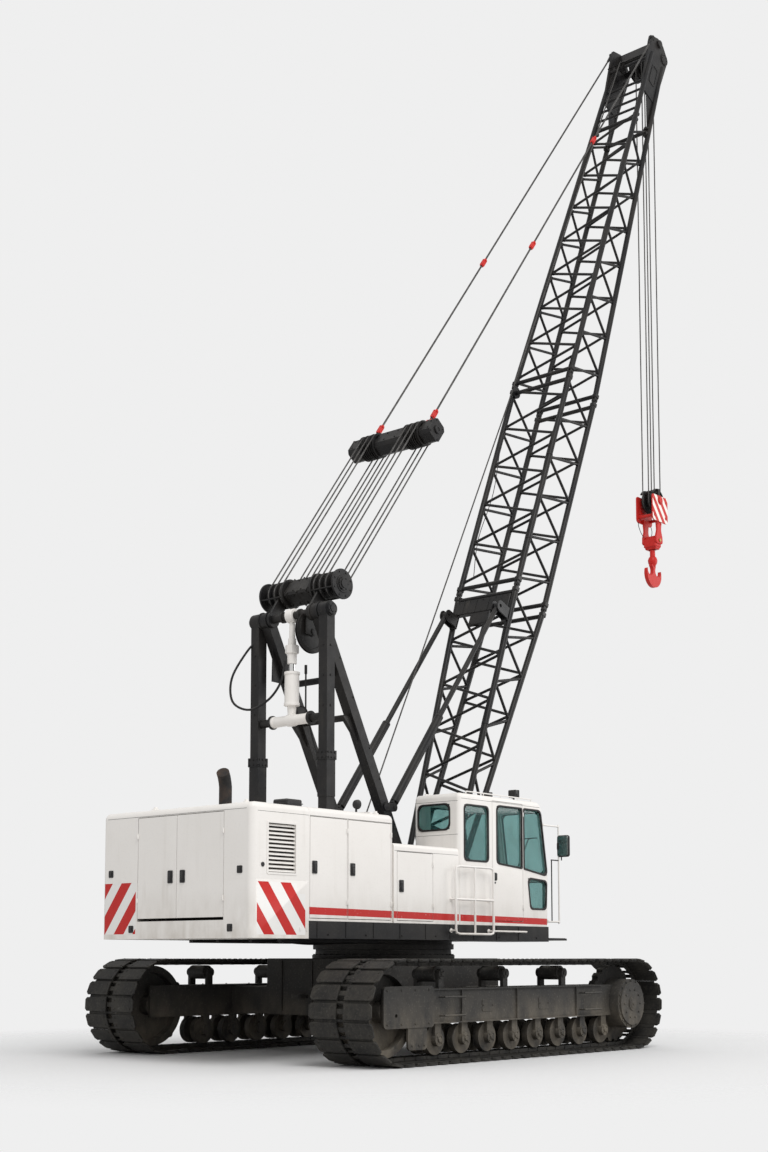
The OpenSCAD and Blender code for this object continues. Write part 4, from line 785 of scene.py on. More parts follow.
def tinted_glass(name):
    """Teal glass: mirror-like at a slant, half clear straight on, with a film of dust."""
    f = Finish(name)
    film = f.noise(6, 5, (1, 1, 0.6)).ramp(0.4, 0.8)
    low = f.z.ramp(2.9, 2.3)
    tone = f.mix(film * 0.25 + low * 0.1, (0.008, 0.065, 0.066), (0.1, 0.17, 0.165))
    f.apply(Base_Color=tone, Roughness=film * 0.08 + 0.03, Coat_Weight=0.6)
    clear = f.make("ShaderNodeBsdfTransparent", {}, Color=(0.8, 0.94, 0.93))
    slant = Maths(f.tree, f.make("ShaderNodeLayerWeight", {}, Blend=0.35).outputs["Facing"])
    f.blend(slant * 0.4 + film * 0.1 + 0.12, clear.outputs[0], f.body.outputs[0])
    return f.material


def lamp_lens(name):
    f = Finish(name)
    ribs = abs((f.y * 60).wrap(1.0) - 0.5)
    base = f.mix(f.noise(20, 3) * 0.4, (0.55, 0.56, 0.56), (0.25, 0.26, 0.26))
    f.bump(ribs, 0.003, 0.6)
    return f.apply(Base_Color=base, Roughness=0.12, Metallic=0.4, Coat_Weight=0.8)


def soot_iron(name):
    f = Finish(name)
    scale = f.noise(8, 5).ramp(0.4, 0.7)
    base = f.mix(scale * 0.6, (0.016, 0.015, 0.015), (0.085, 0.05, 0.03))
    f.bump(f.noise(50, 4), 0.003, 0.5)
    return f.apply(Base_Color=base, Roughness=0.75, Metallic=0.3)


STRIPE_Z = 9.32
PAINTS = {}
SLOTS = {
    "white": "white_paint", "plain_white": "white_paint", "dark": "dark_paint", "boom": "dark_paint",
    "under": "dark_paint", "rope": "rope_steel", "red": "red_paint", "rubber": "black_plastic",
    "plastic": "black_plastic", "cloth": "black_plastic", "lens": "black_plastic",
    "chrome": "pin_steel", "steel": "pin_steel", "soot": "engine_iron",
}
NODE_PAINTS = (
    ("glass", "glass"), ("track_frame", "under"), ("track_wheels", "under"), ("track", "track"),
    ("carbody", "under"), ("tow", "under"), ("slew", "under"), ("house", "white"), ("door", "white"),
    ("cab", "white"), ("counterweight", "white"), ("falls", "rope"), ("line", "rope"),
    ("rope", "rope"), ("link", "red"), ("hook", "red"), ("engine", "soot"), ("exhaust", "soot"),
)


def make_paints():
    """All materials, by the name that the pieces use."""
    PAINTS.update(
        white=white_paint("house white"),
        plain_white=white_paint("plain white", marks=False),
        dark=dark_paint("dark paint"),
        boom=dark_paint("boom black", (0.006, 0.006, 0.007), dust=0.08, rough=0.34),
        under=dark_paint("undercarriage grey", (0.03, 0.029, 0.028), dust=0.45, low=0.3, rough=0.55),
        track=track_steel("track steel"),
        rope=rope_steel("laid rope"),
        red=red_paint("signal red"),
        stripes=red_paint("red and white stripes", stripes=True),
        rubber=rubber("rubber"),
        plastic=rubber("black plastic", (0.02, 0.02, 0.021), 0.5),
        cloth=cloth("seat cloth"),
        glass=tinted_glass("tinted glass"),
        lens=lamp_lens("lamp lens"),
        chrome=bare_metal("chrome rod", (0.62, 0.62, 0.61), 0.08, 0.1),
        steel=bare_metal("pin steel", (0.33, 0.32, 0.31), 0.3, 0.35),
        brass=bare_metal("brass", (0.42, 0.27, 0.1), 0.25, 0.3),
        soot=soot_iron("sooty iron"),
    )


# Tracks


WHEEL_X, TRACK_R, LUG_H, CHAIN_T = 2.568, 0.634, 0.042, 0.052
TRACK_Y, SHOES = 2.07, 66
BELT_R = TRACK_R - LUG_H
PITCH = (4 * WHEEL_X + 2 * math.pi * BELT_R) / SHOES


def loop_place(d, r):
    """Point and turn at a distance along the track, as x, z and angle about Y."""
    straight, turn = 2 * WHEEL_X, math.pi * BELT_R
    d %= 2 * (straight + turn)
    if d < straight:
        return -WHEEL_X + d, TRACK_R - r, 0.0
    if d < straight + turn:
        a = (d - straight) / BELT_R
        return WHEEL_X + r * math.sin(a), TRACK_R - r * math.cos(a), -a
    if d < 2 * straight + turn:
        return WHEEL_X - (d - straight - turn), TRACK_R + r, -math.pi
    a = (d - 2 * straight - turn) / BELT_R
    return -WHEEL_X - r * math.sin(a), TRACK_R + r * math.cos(a), -math.pi - a


def shoe_shape():
    """One shoe with its two links; x along the track, z into the loop, the ground below."""
    s = Shape()
    half, low, high = PITCH / 2 - 0.013, -0.036, -0.014
    for side in (-1, 1):
        plate = [(-half, 0.058), (half, 0.058), (half, 0.455), (half - 0.03, 0.49),
                 (-half + 0.03, 0.49), (-half, 0.455)]
        plate = [(x, side * y) for x, y in plate]
        s.prism(plate, "xy", low, high, 0.004)
        s.box((-half + 0.01, half - 0.01), (side * 0.075, side * 0.47), (high - 0.001, -0.002), 0.003)
        s.box((half - 0.02, half + 0.036), (side * 0.07, side * 0.43), (-0.003, 0.004), 0.002)
        for x in (-0.055, 0.055):
            for y in (0.115, 0.425):
                s.turned((x, side * y, low + 0.001), -Z, [(0, 0.013), (0.006, 0.012)], 6)
        s.box((-0.1, 0.112), (side * 0.095, side * 0.128), (-0.003, CHAIN_T - 0.006), 0.008)
        s.turned((0.106, side * 0.08, 0.022), Y * side, [(0, 0.027), (0.055, 0.027)], 12)
    s.box((-0.03, 0.03), (-0.06, 0.06), (high, -0.002), 0.003)
    s.turned((0.106, -0.085, 0.022), Y, [(0, 0.02), (0.17, 0.02)], 10)
    return s


def tree_holder(name, verts, edges, attribute, values, socket, kind):
    """Object with a point attribute and a geometry tree with one named input besides its mesh."""
    mesh = bpy.data.meshes.new(name)
    mesh.from_pydata(verts, edges, [])
    mesh.attributes.new(attribute, "FLOAT", "POINT").data.foreach_set("value", values)
    tree = bpy.data.node_groups.new(name, "GeometryNodeTree")
    for label, way, sort in (("Geometry", "INPUT", "NodeSocketGeometry"), (socket, "INPUT", kind),
                             ("Geometry", "OUTPUT", "NodeSocketGeometry")):
        tree.interface.new_socket(label, in_out=way, socket_type=sort)
    read = tree.nodes.new("GeometryNodeInputNamedAttribute")
    read.data_type = "FLOAT"
    read.inputs[0].default_value = attribute
    return linked(name, mesh), tree, read.outputs[0]


def run_tree(holder, tree, last, material, socket, value):
    """Ends a tree in Realize Instances and Set Material, sets its input and takes its result."""
    new, link = tree.nodes.new, tree.links.new
    real, paint = new("GeometryNodeRealizeInstances"), new("GeometryNodeSetMaterial")
    paint.inputs["Material"].default_value = material
    link(last, real.inputs[0])
    link(real.outputs[0], paint.inputs["Geometry"])
    link(paint.outputs[0], new("NodeGroupOutput").inputs["Geometry"])
    mod = holder.modifiers.new("tree", "NODES")
    mod.node_group = tree
    mod[next(i.identifier for i in tree.interface.items_tree if i.name == socket)] = value
    return take(holder)


def repeat_along(name, unit, spots, material):
    """Geometry nodes: a unit mesh at every point, turned about Y by the point's own angle."""
    holder, tree, turn = tree_holder(name, [s[:3] for s in spots], [], "turn",
                                     [s[3] for s in spots], "Unit", "NodeSocketObject")
    new, link = tree.nodes.new, tree.links.new
    start, info = new("NodeGroupInput"), new("GeometryNodeObjectInfo")
    place_on, spin = new("GeometryNodeInstanceOnPoints"), new("ShaderNodeCombineXYZ")
    link(start.outputs["Unit"], info.inputs["Object"])
    link(start.outputs["Geometry"], place_on.inputs["Points"])
    link(info.outputs["Geometry"], place_on.inputs["Instance"])
    link(turn, spin.inputs[1])
    link(spin.outputs[0], place_on.inputs["Rotation"])
    return run_tree(holder, tree, place_on.outputs[0], material, "Unit", unit)


def build_tracks():
    unit = as_object("shoe unit", shoe_shape(), [PAINTS["track"]])
    for side, name in ((1, "left"), (-1, "right")):
        spots = []
        for i in range(SHOES):
            x, z, a = loop_place((i + 0.5) * PITCH, BELT_R)
            spots.append((x, side * TRACK_Y, z, a))
        obj = repeat_along(f"track_shoes_{name}", unit, spots, PAINTS["track"])
        place(obj, "undercarriage", "track_steel", (f"track_{name}",))
    bpy.data.objects.remove(unit)


def bolt(s, at, axis, r=0.012, h=0.01):
    s.turned(at, axis, [(0, r * 1.5), (0.003, r * 1.5), (0.003, r), (h, r * 0.9)], 6)


def build_undercarriage():
    for name, side in (("left", 1), ("right", -1)):
        dressed(f"frame_{name}", f"track_frame_{name}", "undercarriage", "under", 0.006)
        dressed(f"wheels_{name}", f"track_wheels_{name}", "undercarriage", "under", 0.006,
                slot="track_steel")
        s = Shape()
        face = TRACK_Y + 0.215
        for x in [-1.75 + i * 0.46 for i in range(8)]:
            bolt(s, (x, face + 0.012, 0.903), Z, 0.01)
        for i in range(8):
            x = -1.612 + i * 0.529
            for u, v in around(x, 0.278, 0.055, 4, 45):
                bolt(s, (u, TRACK_Y + 0.222, v), Y, 0.01)
            s.turned((x, TRACK_Y + 0.221, 0.278), Y, [(0, 0.034), (0.012, 0.034), (0.018, 0.026)], 6)
        for i in range(3):
            x = -1.55 + i * 1.33
            s.turned((x, TRACK_Y + 0.217, 1.078), Y, [(0, 0.03), (0.01, 0.03), (0.016, 0.022)], 6)
            for u, v in around(x, 1.078, 0.044, 4, 45):
                bolt(s, (u, TRACK_Y + 0.217, v), Y, 0.007)
        for x in (-2.62, -2.36, -2.1, -1.84):
            for z in (0.49, 0.89):
                bolt(s, (x, TRACK_Y + 0.244, z), Y, 0.012)
        for x in (-2.15, -2.02, -1.92):
            bolt(s, (x, TRACK_Y + 0.234, 0.23), Y, 0.014)
        for x in (-0.62, 0.62):
            s.plate(rounded(rect(x - 0.12, x + 0.12, 0.6, 0.76), 0.03), [], "xz", face, face + 0.006)
            for dx in (-0.095, 0.095):
                bolt(s, (x + dx, face + 0.005, 0.68), Y, 0.008)
        s.turned((WHEEL_X, TRACK_Y + 0.398, TRACK_R), Y,
                 [(0, 0.07), (0.006, 0.07), (0.01, 0.03), (0.018, 0.026)], 32)
        for u, v in around(WHEEL_X, TRACK_R, 0.2, 10):
            bolt(s, (u, TRACK_Y + 0.384, v), Y, 0.014, 0.014)
        if side < 0:
            s = s.flipped()
        piece(f"frame_bolts_{name}", s, "undercarriage", "under")

    dressed("centre_body", "carbody", "undercarriage", "under", 0.014)
    dressed("towing_lugs", "tow_lugs", "undercarriage", "under", 0.006)

    s = Shape()
    for x in (-1, 1):
        for y in (-0.85, -0.28, 0.28, 0.85):
            s.box((x * 1.148, x * 1.172), (y - 0.012, y + 0.012), (0.55, 1.24), 0.004)
        s.plate(rounded(rect(-0.2, 0.2, 0.92, 1.16), 0.03), [], "yz", x * 1.15, x * 1.16)
        for y in (-0.165, 0.165):
            for z in (0.95, 1.13):
                bolt(s, (x * 1.158, y, z), X * x, 0.01)
    piece("centre_body_ribs", s, "undercarriage", "under")

    s = Shape()
    s.turned((0, 0, 1.27), Z, [
        (0, 0.9), (0, 0.995), (0.045, 0.998), (0.05, 0.955), (0.12, 0.945), (0.125, 0.985),
        (0.195, 0.985), (0.2, 0.96), (0.238, 0.96), (0.238, 0.9)], 96)
    for u, v in around(0, 0, 0.972, 48):
        bolt(s, (u, v, 1.314), Z, 0.014, 0.016)
    piece("slew_ring_race", s, "undercarriage", "under", ("slew_ring",), slot="track_steel")


# House


def panel(name, node, body, keep=None, handle=None):
    """Copy of a house panel, trimmed to a round-edged volume; handle is a box that turns dark."""
    obj = node_copy(name, node, "white")
    if keep:
        trim(obj, keep)
    if handle:
        obj.data.materials.append(PAINTS["plastic"])
        low, high = handle
        for p in obj.data.polygons:
            if all(low[a] < p.center[a] < high[a] for a in range(3)):
                p.material_index = 1
    return place(obj, body, "white_paint", (node,))


def seams(lines):
    """Thin dark strips along the side faces; each line is x0, x1, z0, z1."""
    s = Shape()
    for x0, x1, z0, z1 in lines:
        for side in (-1, 1):
            y = span(side, BODY_Y - 0.002, BODY_Y + 0.0008)
            s.box((x0, x1), y, (z0, z1), 0.0002)
    return s


def build_house():
    panel("rear_weight", "counterweight", "upperworks",
          Shape().hull(rect(REAR_X, 5, 0.5, 5), 0.08, 0.07, -BODY_Y, BODY_Y))
    s = seams([(REAR_X + 0.09, SEAM_X - 0.004, 2.998, 3.002), (SEAM_X + 0.01, HIGH_X - 0.03, 3.0, 3.004),
               (HIGH_X + 0.01, -0.02, 2.655, 2.659)])
    s.box((REAR_X - 0.0008, REAR_X + 0.002), (-1.26, 1.26), (3.024, 3.028), 0.0002)
    piece("lid_seams", s, "upperworks", "rubber")
    panel("rear_house_panels", "rear_house", "upperworks",
          Shape().hull(rect(REAR_X, 5, 0.5, HOUSE_TOP), 0.08, 0.07, -BODY_Y, BODY_Y))
    tall = Shape().hull(rect(-8, HIGH_X, 0.5, HOUSE_TOP), 0.07, 0.06, -BODY_Y, BODY_Y)
    panel("high_house_panels", "high_house", "upperworks", tall)
    for side in ("left", "right"):
        panel(f"low_house_panels_{side}", f"low_house_{side}", "upperworks",
              Shape().hull(rect(-8, 5, 0.5, LOW_TOP), 0.06, 0.05, -BODY_Y, BODY_Y))
    handles = []
    for name, edge, top_z in (("side_door_{}_rear", SEAM_X + 0.012, 2.997),
                              ("side_door_{}_front", -2.245, 2.997),
                              ("low_door_{}", HIGH_X + 0.06, 2.652)):
        for side in ("left", "right"):
            handles.append((name.format(side), edge + 0.085, (DECK_TOP + DOOR_SILL + top_z) / 2))
    for door, x, z in handles:
        side = -1 if "right" in door else 1
        y = span(side, BODY_Y + 0.0005, BODY_Y + 0.03)
        box = ((x - 0.03, y[0], z - 0.065), (x + 0.03, y[1], z + 0.065))
        panel(f"{door}_skin", door, f"{door}_leaf", handle=box)
    for door, y in (("rear_door_left", 0.06), ("rear_door_right", -0.16)):
        box = ((REAR_X - 0.03, y - 0.03, 2.195), (REAR_X - 0.0005, y + 0.03, 2.325))
        panel(f"{door}_skin", door, f"{door}_leaf", handle=box)
    for door, x, z in handles:
        side = -1 if "right" in door else 1
        s = Shape()
        y = BODY_Y + 0.001
        s.plate(rounded(rect(x - 0.044, x + 0.044, z - 0.078, z + 0.078), 0.012),
                [rect(x - 0.0255, x + 0.0255, z - 0.0605, z + 0.0605)], "xz", y, y + 0.01)
        s.bar((x - 0.02, y + 0.018, z + 0.03), (x + 0.02, y + 0.018, z + 0.03), 0.006, 10)
        s.box((x - 0.016, x + 0.016), (y + 0.014, y + 0.021), (z - 0.048, z + 0.012), 0.003)
        if side < 0:
            s = s.flipped()
        piece(f"{door}_latch", s, f"{door}_leaf", "plastic")
    for door, y in (("rear_door_left", 0.06), ("rear_door_right", -0.16)):
        s = Shape()
        x = REAR_X - 0.001
        s.plate(rounded(rect(y - 0.044, y + 0.044, 2.182, 2.338), 0.012),
                [rect(y - 0.0255, y + 0.0255, 2.1995, 2.3205)], "yz", x - 0.01, x)
        s.box((x - 0.021, x - 0.014), (y - 0.014, y + 0.014), (2.215, 2.27), 0.003)
        piece(f"{door}_latch", s, f"{door}_leaf", "plastic")

    s = Shape()
    for side in (-1, 1):
        t = Shape()
        x0, x1, z0, z1 = -3.65, -3.18, 2.28, 2.87
        t.plate(rounded(rect(x0 - 0.022, x1 + 0.022, z0 - 0.022, z1 + 0.022), 0.02),
                [rect(x0 + 0.004, x1 - 0.004, z0 + 0.004, z1 - 0.004)], "xz", BODY_Y, BODY_Y + 0.006)
        for x in (-3.1, -2.99):
            t.box((x - 0.01, x + 0.01), (BODY_Y, BODY_Y + 0.008), (1.6, 1.64), 0.003)
        s.join(t if side > 0 else t.flipped())
    piece("house_trim", s, "upperworks", "white")

    s = Shape()
    for y, z in ((-1.15, 2.31), (1.18, 2.33), (0.78, 1.63), (-0.99, 1.63)):
        s.plate(rounded(rect(y - 0.045, y + 0.045, z - 0.045, z + 0.045), 0.014), [], "yz", REAR_X - 0.006,
                REAR_X + 0.001)
        s.box((REAR_X - 0.014, REAR_X - 0.004), (y - 0.018, y + 0.018), (z - 0.026, z + 0.026), 0.004)
    for side in (-1, 1):
        s.turned((-3.74, side * BODY_Y, 2.37), Y * side,
                 [(0, 0.028), (0.006, 0.028), (0.01, 0.022), (0.01, 0.004)], 24)
    piece("house_catches", s, "upperworks", "plastic")

    s = Shape()
    s.box((-3.66, -3.17), (1.296, 1.304), (2.27, 2.88), 0.002)
    s.box((-3.66, -3.17), (-1.304, -1.296), (2.27, 2.88), 0.002)
    piece("grille_mesh", s, "upperworks", "soot", slot="black_plastic")

    dressed("engine_block", "engine", "upperworks", "soot", 0.03)
    s = Shape()
    for i in range(6):
        x = -3.35 + i * 0.19
        s.turned((x, 0.15, 2.639), Z, [(0, 0.07), (0.05, 0.07), (0.06, 0.04)], 24)
    s.bar((-3.4, -0.25, 2.7), (-2.25, -0.25, 2.7), 0.055, 20, 0.01)
    for i in range(6):
        s.bar((-3.3 + i * 0.19, -0.25, 2.7), (-3.3 + i * 0.19, 0.1, 2.665), 0.022, 12)
    s.bar((-3.38, -0.33, 2.7), (-3.38, -0.33, 3.06), 0.06, 20)
    piece("engine_top", s, "upperworks", "soot")

    dressed("deck_plate", "deck", "upperworks", "dark", 0.008)
    s = Shape()
    for side in (-1, 1):
        for i in range(9):
            x = -2.8 + i * 0.52
            y = span(side, 1.35, 1.356)
            s.box((x - 0.004, x + 0.004), y, (1.52, 1.715), 0.001)
        for x in (-2.6, -1.9, -1.2, -0.5, 0.9, 1.8):
            bolt(s, (x, side * 1.35, 1.56), Y * side, 0.01)
    for i in range(10):
        s.box((2.13 + i * 0.044, 2.152 + i * 0.044), (-1.34, -0.8), (1.557, 1.563), 0.001)
    for y in (-0.8, -0.3, 0.3, 0.8):
        s.box((-2.9, -1.05), (y - 0.03, y + 0.03), (1.47, 1.509), 0.004)
    s.tube(smooth_path([(-2.6, -0.5, 1.49), (-2.2, -0.6, 1.46), (-1.6, -0.45, 1.47), (-1.1, -0.5, 1.49)]),
           0.02)
    piece("deck_trim", s, "upperworks", "dark")

    dressed("drum_brackets", "drum_stands", "upperworks", "dark", 0.006)
    rows = 44
    for node, x, base in (("hoist_drum", -0.37, 0.168), ("boom_hoist_drum", -0.96, 0.16)):
        profile = [(-0.63, 0.04), (-0.63, 0.045), (-0.584, 0.045), (-0.584, 0.232), (-0.576, 0.24),
                   (-0.566, 0.24), (-0.56, 0.232)]
        for i in range(rows):
            y = -0.555 + i * 1.11 / rows
            profile += [(y, base - 0.004), (y + 0.0126, base + 0.008)]
        profile += [(0.56, base - 0.004), (0.56, 0.232), (0.566, 0.24), (0.576, 0.24),
                    (0.584, 0.232), (0.584, 0.045), (0.63, 0.045), (0.63, 0.04)]
        s = Shape().turned((x, 0, 2.15), Y, profile, 40)
        piece(f"{node}_wound", s, f"{node}_set", "steel", (node,), slot="rope_steel")


# Cab


SIDE_WINDOWS = (
    [(0.12, 2.6), (0.66, 2.6), (0.66, 3.36), (0.12, 3.36)],
    [(1.505, 2.54), (2.075, 2.46), (1.915, 3.395), (1.505, 3.395)],
    [(1.66, 1.975), (2.04, 1.975), (2.06, 2.38), (1.6, 2.41)],
)
DOOR_WINDOW = [(0.86, 2.59), (1.455, 2.545), (1.455, 3.395), (0.86, 3.395)]
CAB_DOOR_X = 0.75
LEFT_WINDOW = [(0.3, 2.45), (1.98, 2.45), (1.88, 3.38), (0.3, 3.38)]
REAR_WINDOW = [(-1.19, 3.02), (-0.64, 3.02), (-0.64, 3.37), (-1.19, 3.37)]


def gasket(s, outline, plane, low, high, radii=0.07):
    outer = rounded(inset(outline, -0.014), radii)
    inner = rounded(inset(outline, 0.012), radii)
    s.plate(outer, [inner], plane, low, high, 0.003)


def build_cab():
    s = Shape()
    for z in (2.945, 3.405):
        s.box((-0.0008, 0.002), (-1.33, -0.585), (z, z + 0.004), 0.0002)
    s.box((0.05, 1.9), (-BODY_Y - 0.0008, -BODY_Y + 0.002), (3.44, 3.444), 0.0002)
    piece("cab_seams", s, "upperworks", "rubber")
    outline = [(0, 0.5), (2.1, 0.5), (cab_front(DECK_TOP), DECK_TOP), (cab_front(2.44), 2.44),
               (1.945, 3.52), (0, 3.52)]
    keep = Shape().hull(outline, [0, 0, 0, 0.1, 0.13, 0.07], 0.05, -BODY_Y, CAB_INNER_Y)
    panel("cab_panels", "cab_shell", "upperworks", keep)
    handle = ((CAB_DOOR_X + 0.02, -BODY_Y - 0.03, 2.35), (CAB_DOOR_X + 0.1, -BODY_Y - 0.0005, 2.45))
    panel("cab_door_skin", "cab_door", "cab_door_leaf", handle=handle)

    y = -BODY_Y
    s = Shape()
    gasket(s, SIDE_WINDOWS[0], "xz", y - 0.009, y + 0.012)
    gasket(s, SIDE_WINDOWS[1], "xz", y - 0.009, y + 0.012, [0.03, 0.07, 0.09, 0.03])
    gasket(s, SIDE_WINDOWS[2], "xz", y - 0.009, y + 0.012)
    gasket(s, LEFT_WINDOW, "xz", CAB_INNER_Y - 0.012, CAB_INNER_Y + 0.009)
    gasket(s, REAR_WINDOW, "yz", -0.009, 0.012, 0.09)
    piece("window_seals", s, "upperworks", "rubber")

    s = Shape()
    tilt = math.atan2(0.165, 1.02)
    turn = Matrix.Translation((cab_front(2.5), 0, 2.5)) @ Matrix.Rotation(-tilt, 4, "Y")
    high = 0.88 / math.cos(tilt)
    t = Shape()
    gasket(t, [(y + 0.06, 0.0), (CAB_INNER_Y - 0.06, 0.0), (CAB_INNER_Y - 0.06, high), (y + 0.06, high)],
           "yz", -0.012, 0.009, 0.08)
    s.join(t, turn)
    gasket(s, [(y + 0.08, 1.96), (CAB_INNER_Y - 0.08, 1.96), (CAB_INNER_Y - 0.08, 2.38), (y + 0.08, 2.38)],
           "yz", 2.098, 2.122, 0.07)
    t = Shape()
    t.bar((0.016, -0.75, 0.02), (0.02, -1.05, 0.52), 0.008, 10)
    t.box((0.01, 0.026), (-1.2, -0.9), (0.515, 0.53), 0.003)
    t.turned((0.0, -0.75, 0.02), X, [(0, 0.025), (0.03, 0.022), (0.036, 0.012)], 20)
    s.join(t, turn)
    piece("front_seals_and_wiper", s, "upperworks", "rubber")

    s = Shape()
    gasket(s, DOOR_WINDOW, "xz", y - 0.009, y + 0.012, [0.08, 0.03, 0.03, 0.08])
    x = CAB_DOOR_X + 0.06
    s.plate(rounded(rect(x - 0.04, x + 0.04, 2.345, 2.455), 0.02),
            [rect(x - 0.0305, x + 0.0305, 2.3595, 2.4405)],
            "xz", y - 0.01, y)
    s.turned((x, y - 0.001, 2.315), -Y, [(0, 0.014), (0.008, 0.012)], 20)
    piece("cab_door_trim", s, "cab_door_leaf", "rubber")

    for node in ("cab_glass", "cab_door_glass"):
        repaint(node, "glass")

    mid = (CAB_INNER_Y - BODY_Y) / 2
    s = Shape()
    s.box((0.42, 0.9), (mid - 0.22, mid + 0.22), (1.775, 1.96), 0.03)
    for x in (0.5, 0.82):
        s.box((x - 0.03, x + 0.03), (mid - 0.16, mid + 0.16), (1.95, 2.06), 0.01)
    for dx in (1.41, 1.54):
        s.box((dx - 0.02, dx + 0.02), (mid - 0.15, mid + 0.15), (1.775, 2.32), 0.01)
    s.box((1.402, 1.558), (mid - 0.158, mid + 0.158), (2.2, 2.328), 0.03)
    for dy in (-0.09, 0.0, 0.09):
        s.turned((1.405, mid + dy, 2.27), -X, [(0, 0.032), (0.004, 0.032), (0.006, 0.026)], 20)
    for dy in (-0.3, 0.3):
        s.box((0.5, 0.96), (mid + dy - 0.04, mid + dy + 0.04), (1.775, 2.24), 0.02)
        s.bar((0.86, mid + dy, 2.23), (0.9, mid + dy, 2.42), 0.01, 12)
        s.turned((0.9, mid + dy, 2.41), (0.2, 0, 1),
                 [(0, 0.012), (0.01, 0.022), (0.05, 0.024), (0.065, 0.01)], 16)
    s.bar((1.44, mid, 2.32), (1.395, mid, 2.44), 0.024, 20)
    wheel = Matrix.Translation((1.395, mid, 2.44)) @ Matrix.Rotation(math.radians(-25), 4, "Y")
    t = Shape()
    t.tube([(u, v, 0) for u, v in around(0, 0, 0.16, 40)], 0.014, 12, closed=True)
    for u, v in around(0, 0, 1, 3, 90):
        t.bar((0.03 * u, 0.03 * v, 0), (0.155 * u, 0.155 * v, 0), 0.008, 8)
    t.turned((0, 0, -0.02), Z, [(0, 0.035), (0.03, 0.035), (0.04, 0.02)], 24)
    s.join(t, wheel)
    piece("cab_fittings", s, "upperworks", "plastic")
    s = Shape()
    s.box((0.4, 0.94), (mid - 0.24, mid + 0.24), (2.06, 2.2), 0.05)
    s.box((0.36, 0.48), (mid - 0.24, mid + 0.24), (2.17, 2.66), 0.045)
    s.box((0.375, 0.465), (mid - 0.13, mid + 0.13), (2.67, 2.86), 0.035)
    for dy in (-0.08, 0.08):
        s.bar((0.42, mid + dy, 2.62), (0.42, mid + dy, 2.7), 0.008, 8)
    piece("driver_seat", s, "upperworks", "cloth", ("cab_interior",), soft=0.008)

    s = Shape()
    for yy in (-1.315, -0.6):
        s.tube(smooth_path([(0.2, yy, 3.521), (0.22, yy, 3.545), (0.34, yy, 3.55), (1.6, yy, 3.55),
                            (1.72, yy, 3.545), (1.74, yy, 3.521)], 4), 0.009, 8)
        for x in (0.6, 1.0, 1.4):
            s.bar((x, yy, 3.519), (x, yy, 3.55), 0.007, 8)
    piece("roof_rails", s, "upperworks", "plain_white")


def repaint(node, paint):
    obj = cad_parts[node]
    obj.data.materials.clear()
    obj.data.materials.append(PAINTS[paint])


